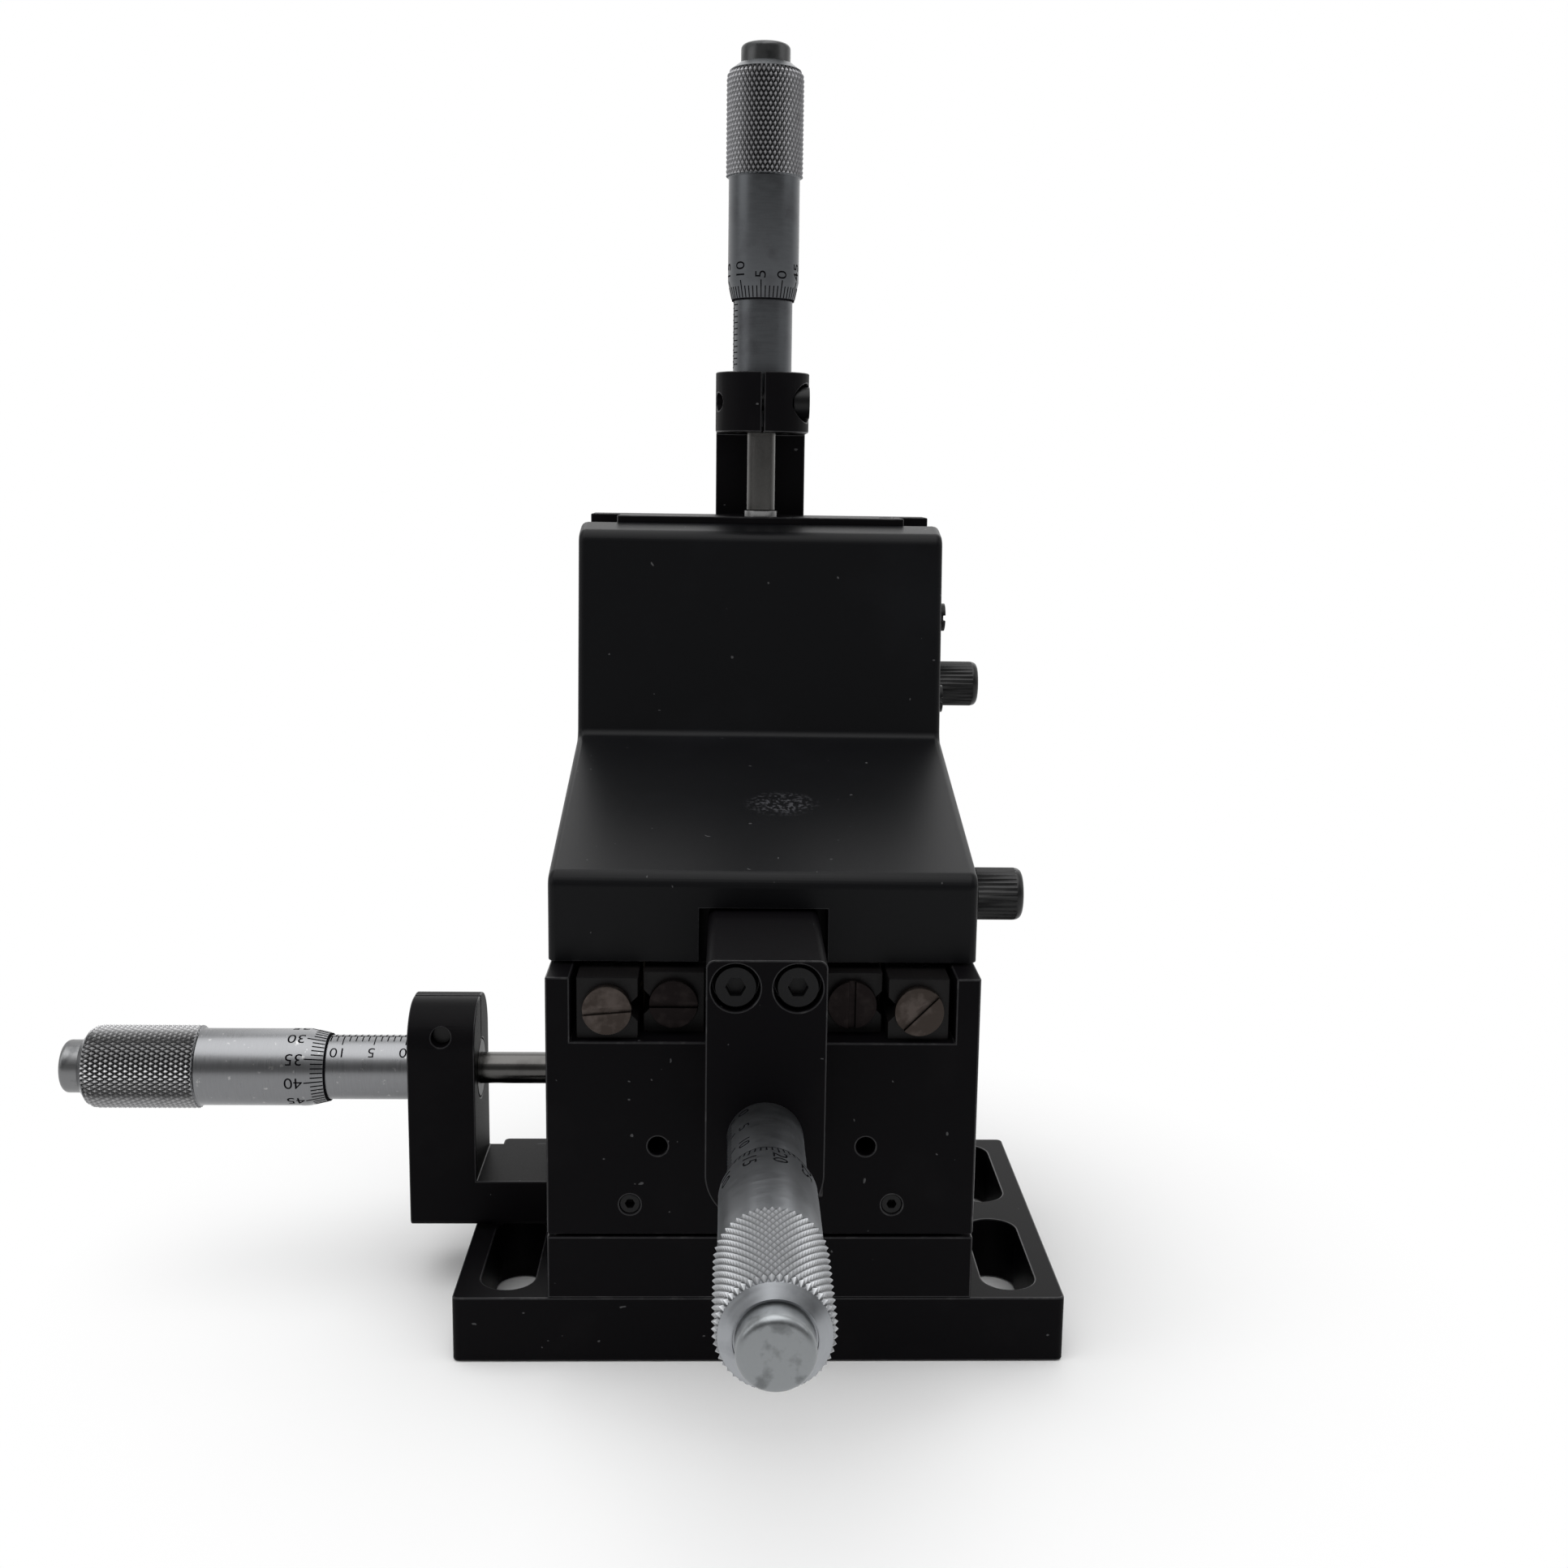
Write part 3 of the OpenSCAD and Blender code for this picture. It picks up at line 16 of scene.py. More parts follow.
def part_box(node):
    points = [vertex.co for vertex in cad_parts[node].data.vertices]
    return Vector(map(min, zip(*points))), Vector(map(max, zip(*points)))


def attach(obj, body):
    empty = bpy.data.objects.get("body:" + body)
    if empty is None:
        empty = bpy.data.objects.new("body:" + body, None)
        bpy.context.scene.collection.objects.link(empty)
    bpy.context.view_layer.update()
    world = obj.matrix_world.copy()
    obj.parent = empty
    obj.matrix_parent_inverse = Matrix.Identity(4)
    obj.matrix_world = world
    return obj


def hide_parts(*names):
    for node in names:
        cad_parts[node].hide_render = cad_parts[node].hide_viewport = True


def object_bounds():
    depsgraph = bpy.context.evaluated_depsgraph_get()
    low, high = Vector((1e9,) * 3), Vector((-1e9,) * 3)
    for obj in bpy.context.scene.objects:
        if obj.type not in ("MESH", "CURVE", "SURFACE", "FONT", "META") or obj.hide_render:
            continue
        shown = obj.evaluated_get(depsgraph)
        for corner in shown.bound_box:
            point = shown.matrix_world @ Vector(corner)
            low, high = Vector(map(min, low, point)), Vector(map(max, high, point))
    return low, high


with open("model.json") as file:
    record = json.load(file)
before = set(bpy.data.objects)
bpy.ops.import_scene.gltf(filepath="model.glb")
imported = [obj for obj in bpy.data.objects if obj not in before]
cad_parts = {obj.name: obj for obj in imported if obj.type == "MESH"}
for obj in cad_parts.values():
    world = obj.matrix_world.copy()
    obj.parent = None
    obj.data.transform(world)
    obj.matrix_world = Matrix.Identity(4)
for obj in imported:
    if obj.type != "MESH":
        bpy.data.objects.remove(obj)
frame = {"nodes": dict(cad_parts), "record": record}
CAD_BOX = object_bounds()
LOG = logging.getLogger("mount")
MM = 0.001
FULL_TURN = 2 * math.pi
# Largest angles of a face that stays whole, of smooth shading and of an edge that stays sharp
FLAT_DEGREES = 1
SMOOTH_DEGREES = 32
SHARP_DEGREES = 35
# Slack for reading a place, in millimetres
TOUCH = 0.01
# Distances within which points are merged: in metres, and in millimetres for flat numbers
MERGE_OUTLINE = 1e-7
MERGE_TURNED = 1e-6
MERGE_SOLID = 2e-6
MERGE_NUMBER = 1e-5
# Material index of rounded edges, which on black pieces carry a painted highlight
EDGE_SLOT = 1
# Steps of a rounded edge, of a quarter round and of full turns
SOFT_STEPS = 2
ARC_STEPS = 6
ROUND_STEPS = 96
SPINDLE_STEPS = 64


class Grain(Enum):
    """How a surface was worked, as the stretch of its fine pattern along X, Y and Z."""

    BLASTED = (1.0, 1.0, 1.0)
    ALONG_X = (0.04, 1.0, 1.0)
    ALONG_Y = (1.0, 0.04, 1.0)
    ROUND_X = (1.0, 0.08, 0.08)
    ROUND_Y = (0.08, 1.0, 0.08)
    ROUND_Z = (0.08, 0.08, 1.0)


@dataclass(frozen=True)
class Graph:
    """A node tree and short ways to add to it.

    Attributes:
        tree: The node tree.
    """

    tree: bpy.types.NodeTree

    def node(self, kind: str, inputs: dict[str | int, object], **settings: object) -> bpy.types.Node:
        """Adds one node.

        Args:
            kind: Type of the node.
            inputs: A socket to link or a value to set, for each input named.
            settings: Values of the node's own settings.

        Returns:
            The node.
        """
        made = self.tree.nodes.new(kind)
        for name, value in settings.items():
            setattr(made, name, value)
        for name, value in inputs.items():
            if isinstance(value, bpy.types.NodeSocket):
                self.tree.links.new(value, made.inputs[name])
            else:
                made.inputs[name].default_value = value
        return made

    def ramp(self, value: bpy.types.NodeSocket, start: float, end: float, low: float = 0.0,
             high: float = 1.0) -> bpy.types.NodeSocket:
        """A clamped ramp from one value to another.

        Args:
            value: What is read.
            start: Value at which the ramp starts.
            end: Value at which it ends.
            low: Result at the start.
            high: Result at the end.

        Returns:
            The ramp's output.
        """
        return self.node("ShaderNodeMapRange", {"Value": value, "From Min": start, "From Max": end,
                                                "To Min": low, "To Max": high}).outputs["Result"]

    def blend(self, share: bpy.types.NodeSocket, first: object, second: object) -> bpy.types.NodeSocket:
        """A mix of two colours.

        Args:
            share: Share of the second one.
            first: Colour or socket.
            second: Colour or socket.

        Returns:
            The mixed colour.
        """
        ends = (c if isinstance(c, bpy.types.NodeSocket) else (*c, 1) for c in (first, second))
        inputs = dict(zip(("Factor", "A", "B"), (share, *ends)))
        return self.node("ShaderNodeMix", inputs, data_type="RGBA").outputs["Result"]

    def math(self, operation: str, *values: object) -> bpy.types.NodeSocket:
        """One sum of numbers.

        Args:
            operation: Name of the operation.
            values: Sockets or numbers.

        Returns:
            The result.
        """
        return self.node("ShaderNodeMath", dict(enumerate(values)), operation=operation).outputs["Value"]

    def noise(self, vector: bpy.types.NodeSocket, scale: float, detail: float) -> bpy.types.NodeSocket:
        """A noise pattern.

        Args:
            vector: Where it is read.
            scale: Scale per metre.
            detail: Octaves.

        Returns:
            The noise value.
        """
        made = self.node("ShaderNodeTexNoise", {"Vector": vector, "Scale": scale, "Detail": detail})
        return made.outputs["Fac"]


@dataclass(frozen=True)
class Finish:
    """One surface finish and the numbers that its material needs.

    Attributes:
        name: Name of the material.
        color: Main colour, linear.
        worn: Second colour that shows in patches.
        metallic: Share of metal.
        roughness: Mean roughness.
        grain: Direction of the fine pattern.
        specular: Strength of the reflection of a surface that isn't metal.
        fine: Scale of the fine pattern, per metre.
        relief: Depth of the fine pattern, in metres.
        patch: Scale of the patches, per metre.
        patch_start: Noise value above which the worn colour starts.
        patch_soft: How soft the edge of a patch is.
        rough_spread: How far the roughness varies.
        streak: How much the fine pattern darkens the colour.
        groove: How much painted shade in grooves and recesses, marked by the attribute named groove,
            darkens the colour.
        specks: Colour of small specks of dust, if there are any.
        smudge: Middle of a smudge and its reach along X and Y, in metres, if there is one.
    """

    name: str
    color: tuple[float, float, float]
    worn: tuple[float, float, float]
    metallic: float
    roughness: float
    grain: Grain = Grain.BLASTED
    specular: float = 0.5
    fine: float = 3000.0
    relief: float = 4e-6
    patch: float = 90.0
    patch_start: float = 0.55
    patch_soft: float = 0.2
    rough_spread: float = 0.08
    streak: float = 0.0
    groove: float = 0.0
    specks: tuple[float, float, float] | None = None
    smudge: tuple[float, float, float, float, float] | None = None

    def material(self) -> bpy.types.Material:
        """Builds the material once and returns it.

        Returns:
            The material of this finish.
        """
        title = f"look_{self.name}"
        known = bpy.data.materials.get(title)
        if known:
            return known
        material = bpy.data.materials.new(title)
        material.use_nodes = True
        graph = Graph(material.node_tree)
        shader = material.node_tree.nodes["Principled BSDF"]
        shader.inputs["Metallic"].default_value = self.metallic
        shader.inputs["Specular IOR Level"].default_value = self.specular
        place = graph.node("ShaderNodeTexCoord", {}).outputs["Object"]
        stretch = graph.node("ShaderNodeMapping", {"Vector": place, "Scale": self.grain.value})
        fine = graph.noise(stretch.outputs["Vector"], self.fine, 3.0)
        patches = graph.noise(place, self.patch, 6.0)
        worn = graph.ramp(patches, self.patch_start, self.patch_start + self.patch_soft)
        color = graph.blend(worn, self.color, self.worn)
        if self.streak:
            color = graph.blend(graph.ramp(fine, *STREAK_BAND, 0.0, self.streak), color, GRAIN_AND_SHADE_DARK)
        if self.specks:
            dots = graph.noise(place, SPECK_SCALE, 0.0)
            color = graph.blend(graph.ramp(dots, *SPECK_BAND), color, self.specks)
        if self.smudge:
            color = self._smudged(graph, place, color)
        # Painted shade: points that the attribute named groove marks are darkened
        if self.groove:
            depth = graph.node("ShaderNodeAttribute", {}, attribute_name="groove").outputs["Fac"]
            color = graph.blend(graph.ramp(depth, *GROOVE_BAND, 0.0, self.groove), color, GRAIN_AND_SHADE_DARK)
        rough = graph.ramp(fine, 0.0, 1.0, self.roughness - self.rough_spread,
                           self.roughness + self.rough_spread)
        bump = graph.node("ShaderNodeBump", {"Distance": self.relief, "Height": fine}).outputs["Normal"]
        for name, socket in (("Base Color", color), ("Roughness", rough), ("Normal", bump)):
            graph.tree.links.new(socket, shader.inputs[name])
        return material

    def _smudged(self, graph: Graph, place: bpy.types.NodeSocket,
                 color: bpy.types.NodeSocket) -> bpy.types.NodeSocket:
        """Adds the smudge to the colour.

        Args:
            graph: The material's nodes.
            place: Object coordinates.
            color: The colour so far.

        Returns:
            The colour with the smudge.
        """
        x, y, z, reach_x, reach_y = self.smudge
        middle = tuple(-c / r for c, r in ((x, reach_x), (y, reach_y), (z, reach_y)))
        scale = (1 / reach_x, 1 / reach_y, 1 / reach_y)
        own = graph.node("ShaderNodeMapping", {"Vector": place, "Location": middle, "Scale": scale})
        far = graph.node("ShaderNodeVectorMath", {0: own.outputs["Vector"]}, operation="LENGTH")
        fleck = graph.ramp(graph.noise(place, SMUDGE_SCALE, 5.0), *FLECK_BAND)
        share = graph.math("MULTIPLY", graph.ramp(far.outputs["Value"], *SMUDGE_FADE), fleck)
        return graph.blend(share, color, SMUDGE_GREY)


# Dark of the grain's streaks, and of the painted shade in grooves and recesses
GRAIN_AND_SHADE_DARK = (0.006, 0.006, 0.0065)
SMUDGE_GREY = (0.05, 0.05, 0.055)
DUST = (0.06, 0.06, 0.062)
SPECK_SCALE = 1100.0
SPECK_BAND = (0.865, 0.875)
STREAK_BAND = (0.62, 0.38)
GROOVE_BAND = (0.1, 1.0)
SMUDGE_SCALE = 1500.0
SMUDGE_FADE = (1.0, 0.4)
FLECK_BAND = (0.5, 0.6)
BLACK = Finish("black_anodised", (0.0024, 0.0021, 0.0027), (0.0038, 0.0034, 0.004), 0.0, 0.46,
               specular=0.05, fine=5200, relief=2e-6, specks=DUST)
# Lighter, shinier copy of the black finish for rounded edges: painted highlight along the edges
BLACK_EDGE_HIGHLIGHT = Finish("black_anodised_edge_highlight", (0.014, 0.0135, 0.015), (0.045, 0.044, 0.045), 0.2, 0.35,
                    specular=0.3, fine=2400, patch=500)
COVER_BLACK = Finish("black_cover_sheet", (0.0028, 0.0029, 0.0036), (0.0042, 0.0044, 0.0054), 0.0, 0.38,
                     specular=0.12, fine=6400, relief=3e-6, patch=60, specks=DUST,
                     smudge=(0.0032, 0.0005, 0.0776, 0.0062, 0.005))
# Lighter, shinier copy of the cover's finish for its cut edges: painted highlight along the edges
COVER_EDGE_HIGHLIGHT = Finish("black_cover_edge_highlight", (0.02, 0.02, 0.022), (0.06, 0.06, 0.062), 0.3, 0.35,
                    specular=0.3, patch=400)
DARK_STEEL = Finish("dark_rail_steel", (0.005, 0.0045, 0.0047), (0.008, 0.007, 0.007), 0.0, 0.4,
                    Grain.ALONG_Y, specular=0.15)
OXIDE = Finish("black_oxide_steel", (0.003, 0.003, 0.0035), (0.006, 0.0055, 0.0055), 0.0, 0.36,
               specular=0.2)
BRONZED = Finish("dark_bronzed_steel", (0.042, 0.034, 0.03), (0.075, 0.062, 0.056), 1.0, 0.4,
                 Grain.ALONG_X, patch=500, patch_start=0.45)
BRONZED_DARK = Finish("darker_bronzed_steel", (0.013, 0.0105, 0.0105), (0.022, 0.018, 0.0175), 1.0, 0.42,
                      Grain.ALONG_X, patch=500, patch_start=0.5)
BRIGHT = Finish("polished_steel", (0.085, 0.083, 0.08), (0.055, 0.053, 0.051), 1.0, 0.2, patch=160)
ANVIL = Finish("hard_steel", (0.3, 0.3, 0.3), (0.2, 0.2, 0.2), 1.0, 0.3, patch=300)
# The three heads are alike: the levels of their chrome, knurled and cap finishes differ from head to head
# as painted light and shade
CHROME_X = Finish("satin_chrome_x", (0.21, 0.213, 0.22), (0.36, 0.36, 0.36), 1.0, 0.3, Grain.ROUND_X,
                  fine=4200, relief=3e-6, patch=900, patch_start=0.65, patch_soft=0.05, streak=0.06)
CHROME_Y = Finish("satin_chrome_y", (0.33, 0.342, 0.36), (0.26, 0.27, 0.285), 1.0, 0.33, Grain.ROUND_Y,
                  fine=4200, relief=3e-6, patch=380, patch_start=0.54, streak=0.05)
CHROME_Z = Finish("satin_chrome_z", (0.105, 0.11, 0.117), (0.08, 0.082, 0.088), 1.0, 0.34, Grain.ROUND_Z,
                  fine=4200, relief=3e-6, patch=200, patch_start=0.5, streak=0.05)
KNURLED_X = Finish("knurled_chrome_x", (0.42, 0.42, 0.425), (0.34, 0.34, 0.345), 1.0, 0.26,
                   patch=420, groove=0.85)
KNURLED_Y = Finish("knurled_chrome_y", (0.4, 0.41, 0.425), (0.33, 0.34, 0.35), 1.0, 0.36,
                   patch=420, groove=0.6)
KNURLED_Z = Finish("knurled_chrome_z", (0.28, 0.28, 0.29), (0.22, 0.22, 0.225), 1.0, 0.34,
                   patch=420, groove=0.8)
CAP_X = Finish("stained_cap_x_painted_light", (0.19, 0.192, 0.195), (0.12, 0.122, 0.125), 1.0, 0.34, patch=420,
               patch_start=0.5, patch_soft=0.15)
CAP_Y = Finish("stained_cap_y_painted_light", (0.25, 0.262, 0.27), (0.15, 0.158, 0.162), 1.0, 0.36, patch=380,
               patch_start=0.53, patch_soft=0.12)
CAP_Z = Finish("stained_cap_z_painted_light", (0.075, 0.076, 0.077), (0.05, 0.051, 0.052), 1.0, 0.34, patch=420,
               patch_start=0.5, patch_soft=0.15)
# Black of the printed marks, also painted as shade on the thin ring at each thimble's rim
INK_AND_SHADE = Finish("black_ink_and_shade", (0.003, 0.003, 0.004), (0.006, 0.006, 0.006), 0.0, 0.8, specular=0.02)
SPRING = Finish("spring_wire", (0.4, 0.4, 0.42), (0.28, 0.28, 0.3), 1.0, 0.3)
BRASS = Finish("turned_brass", (0.5, 0.36, 0.13), (0.4, 0.28, 0.1), 1.0, 0.3)
CAGE = Finish("dark_cage_brass", (0.03, 0.024, 0.014), (0.02, 0.016, 0.01), 0.6, 0.45)
WASHER = Finish("white_washer", (0.7, 0.69, 0.64), (0.6, 0.58, 0.52), 0.0, 0.5)
# Black of the knobs, darkened in their grooves and recesses as painted shade
KNOB_BLACK = Finish("black_knob_steel", (0.006, 0.006, 0.0065), (0.013, 0.013, 0.013), 0.0, 0.34,
                    specular=0.3, patch=700, groove=0.8)


def deselect_all() -> None:
    """Leaves edit mode and selects nothing."""
    if bpy.context.object and bpy.context.object.mode != "OBJECT":
        bpy.ops.object.mode_set(mode="OBJECT")
    bpy.ops.object.select_all(action="DESELECT")


def make_active(piece: bpy.types.Object) -> None:
    """Selects one piece alone and makes it the active one.

    Args:
        piece: The piece.
    """
    deselect_all()
    piece.select_set(True)
    bpy.context.view_layer.objects.active = piece


@contextmanager
def editing(piece: bpy.types.Object) -> Iterator[None]:
    """Edit mode on one piece, with nothing selected at first.

    Args:
        piece: The piece to edit.
    """
    make_active(piece)
    bpy.ops.object.mode_set(mode="EDIT")
    bpy.ops.mesh.select_all(action="DESELECT")
    yield
    bpy.ops.object.mode_set(mode="OBJECT")


def on_whole(operation: Callable[..., object], **settings: object) -> None:
    """Runs a mesh operation on a whole piece, in edit mode.

    Args:
        operation: The operation.
        settings: Its settings.
    """
    bpy.ops.mesh.select_all(action="SELECT")
    operation(**settings)


def pick(piece: bpy.types.Object, kind: str, test: Callable[[object], bool]) -> int:
    """Selects the parts of a mesh that pass a test, in edit mode.

    Args:
        piece: The piece in edit mode.
        kind: FACE, EDGE or VERT.
        test: What a part has to pass.

    Returns:
        How many are selected.
    """
    bpy.ops.mesh.select_mode(type=kind)
    mesh = bmesh.from_edit_mesh(piece.data)
    parts = {"FACE": mesh.faces, "EDGE": mesh.edges, "VERT": mesh.verts}[kind]
    for part in parts:
        part.select_set(test(part))
    mesh.select_flush_mode()
    bmesh.update_edit_mesh(piece.data)
    return sum(part.select for part in parts)


def modify(piece: bpy.types.Object, kind: str, **settings: object) -> None:
    """Adds a modifier to a piece and applies it.

    Args:
        piece: The piece.
        kind: Type of the modifier.
        settings: Values of its settings.
    """
    modifier = piece.modifiers.new(kind.lower(), kind)
    for name, value in settings.items():
        setattr(modifier, name, value)
    make_active(piece)
    bpy.ops.object.modifier_apply(modifier=modifier.name)


def smooth(piece: bpy.types.Object) -> None:
    """Shades a piece smooth up to an angle between its faces.

    Args:
        piece: The piece.
    """
    make_active(piece)
    bpy.ops.object.shade_smooth_by_angle(angle=math.radians(SMOOTH_DEGREES))


def soften(piece: bpy.types.Object, width_mm: float) -> None:
    """Rounds a piece's sharp edges, in its second finish, which on black pieces is a painted highlight, and
    keeps its large faces evenly shaded.

    Args:
        piece: The piece.
        width_mm: Width of the rounding.
    """
    modify(piece, "BEVEL", width=width_mm * MM, segments=SOFT_STEPS, material=EDGE_SLOT,
           limit_method="ANGLE", angle_limit=math.radians(SHARP_DEGREES),
           use_clamp_overlap=False, miter_outer="MITER_SHARP")
    smooth(piece)
    modify(piece, "WEIGHTED_NORMAL", keep_sharp=True, weight=100)


def settle(piece: bpy.types.Object, place: Matrix | None = None) -> None:
    """Puts a piece's place in its mesh and its object at the origin.

    Args:
        piece: The piece.
        place: Where the piece's own frame lies, if not where the piece is.
    """
    if place is not None:
        piece.matrix_world = place @ piece.matrix_world
    make_active(piece)
    bpy.ops.object.transform_apply(location=True, rotation=True, scale=True)


def dress(piece: bpy.types.Object, *finishes: Finish) -> None:
    """Gives a piece its finishes in place of those that it has.

    Args:
        piece: The piece.
        finishes: Its finishes, the one of its faces first.
    """
    piece.data.materials.clear()
    for finish in finishes:
        piece.data.materials.append(finish.material())


def finish_piece(piece: bpy.types.Object, node: str, *nodes: str) -> None:
    """Says what a piece rides on and what it stands for.

    Args:
        piece: The piece.
        node: The solid whose body it shares.
        nodes: The solids that it replaces.
    """
    record = frame["record"]
    body = next(name for name, held in record["behaviour"]["bodies"].items() if node in held)
    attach(piece, body)
    if nodes:
        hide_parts(*nodes)
    LOG.info("%s: %d faces on %s", piece.name, len(piece.data.polygons), body)


def merged_copy(node: str, name: str, *finishes: Finish) -> bpy.types.Object:
    """Copies a solid as a piece of whole faces with finishes of its own.

    Args:
        node: Name of the solid.
        name: Name of the new piece.
        finishes: Its finishes, the one of its faces first.

    Returns:
        The piece, with its points merged and its flat triangles joined.
    """
    piece = bpy.data.objects.new(name, frame["nodes"][node].data.copy())
    dress(piece, *finishes)
    bpy.context.scene.collection.objects.link(piece)
    with editing(piece):
        bpy.ops.mesh.customdata_custom_splitnormals_clear()
        on_whole(bpy.ops.mesh.remove_doubles, threshold=MERGE_SOLID)
        on_whole(bpy.ops.mesh.dissolve_limited, angle_limit=math.radians(FLAT_DEGREES))
    return piece


def cut_grooves(piece: bpy.types.Object, is_groove: Callable[[object], bool],
                is_dark: Callable[[object], bool], share: float) -> None:
    """Moves the points of grooves towards the Z axis and marks the points that get painted shade.

    Args:
        piece: The turned piece.
        is_groove: Whether a point lies at the bottom of a groove.
        is_dark: Whether a point gets painted shade.
        share: Depth of the grooves as a share of the radius.
    """
    groove = piece.data.attributes.new("groove", "FLOAT", "POINT")
    for point, depth in zip(piece.data.vertices, groove.data):
        depth.value = float(is_dark(point))
    with editing(piece):
        pick(piece, "VERT", is_groove)
        bpy.ops.transform.resize(value=(1 - share, 1 - share, 1), center_override=(0, 0, 0))


@dataclass
class Machined:
    """Solids that keep their shape and get rounded edges and a finish.

    Attributes:
        nodes: Names of the solids.
        surface: Finish of the faces.
        edge: Finish of the rounded edges, on black pieces a lighter copy painted as highlight.
        width_mm: Width of the rounding.
    """

    nodes: tuple[str, ...]
    surface: Finish
    edge: Finish
    width_mm: float

    def build(self) -> None:
        """Builds one piece for each solid."""
        for node in self.nodes:
            piece = merged_copy(node, f"{node}_piece", self.surface, self.edge)
            soften(piece, self.width_mm)
            finish_piece(piece, node, node)


@dataclass
class Painted:
    """Solids whose shape stays as it is and which only get a finish.

    Attributes:
        nodes: Names of the solids.
        surface: Their finish.
    """

    nodes: tuple[str, ...]
    surface: Finish

    def build(self) -> None:
        """Gives each solid its finish."""
        for node in self.nodes:
            dress(frame["nodes"][node], self.surface)
            LOG.info("%s: finish %s", node, self.surface.name)


def turned(name: str, outline: list[tuple[float, float]], steps: int) -> bpy.types.Object:
    """Turns a closed outline round the Z axis, as on a lathe.

    Args:
        name: Name of the piece.
        outline: Radius and height of each corner, in millimetres.
        steps: Steps of the full turn.

    Returns:
        The turned piece.
    """
    bpy.ops.mesh.primitive_plane_add(size=MM)
    piece = bpy.context.object
    piece.name = name
    piece.data.name = name
    with editing(piece):
        mesh = bmesh.from_edit_mesh(piece.data)
        bmesh.ops.delete(mesh, geom=mesh.verts[1:], context="VERTS")
        mesh.verts.ensure_lookup_table()
        first = mesh.verts[0]
        first.co = Vector((outline[0][0], 0, outline[0][1])) * MM
        first.select_set(True)
        bmesh.update_edit_mesh(piece.data)
        bpy.ops.mesh.select_mode(type="VERT")
        for (r0, z0), (r1, z1) in zip(outline, [*outline[1:], outline[0]]):
            step = Vector((r1 - r0, 0, z1 - z0)) * MM
            bpy.ops.mesh.extrude_region_move(TRANSFORM_OT_translate={"value": step})
        on_whole(bpy.ops.mesh.remove_doubles, threshold=MERGE_OUTLINE)
        on_whole(bpy.ops.mesh.spin, steps=steps, angle=FULL_TURN, center=(0, 0, 0), axis=(0, 0, 1))
        on_whole(bpy.ops.mesh.remove_doubles, threshold=MERGE_TURNED)
        on_whole(bpy.ops.mesh.normals_make_consistent, inside=False)
    return piece


def arc(r0: float, z0: float, r1: float, z1: float) -> list[tuple[float, float]]:
    """Points of a quarter round that closes in towards the axis, bulging outwards.

    Args:
        r0: Radius at the start.
        z0: Height at the start.
        r1: Radius at the end.
        z1: Height at the end.

    Returns:
        Radius and height of each point, in the units given.
    """
    turns = [math.pi / 2 * i / ARC_STEPS for i in range(ARC_STEPS + 1)]
    return [(r1 + (r0 - r1) * math.cos(t), z0 + (z1 - z0) * math.sin(t)) for t in turns]


class Axis(Enum):
    """Where a head's own Z axis points: away from its clamp, to its end cap."""

    X = "x"
    Y = "y"
    Z = "z"


HEAD_TURNS = {
    Axis.X: Matrix.Rotation(-math.pi / 2, 4, "Z") @ Matrix.Rotation(math.pi / 2, 4, "X"),
    Axis.Y: Matrix.Rotation(math.pi, 4, "Y") @ Matrix.Rotation(math.pi / 2, 4, "X"),
    Axis.Z: Matrix.Rotation(math.pi, 4, "Z"),
}


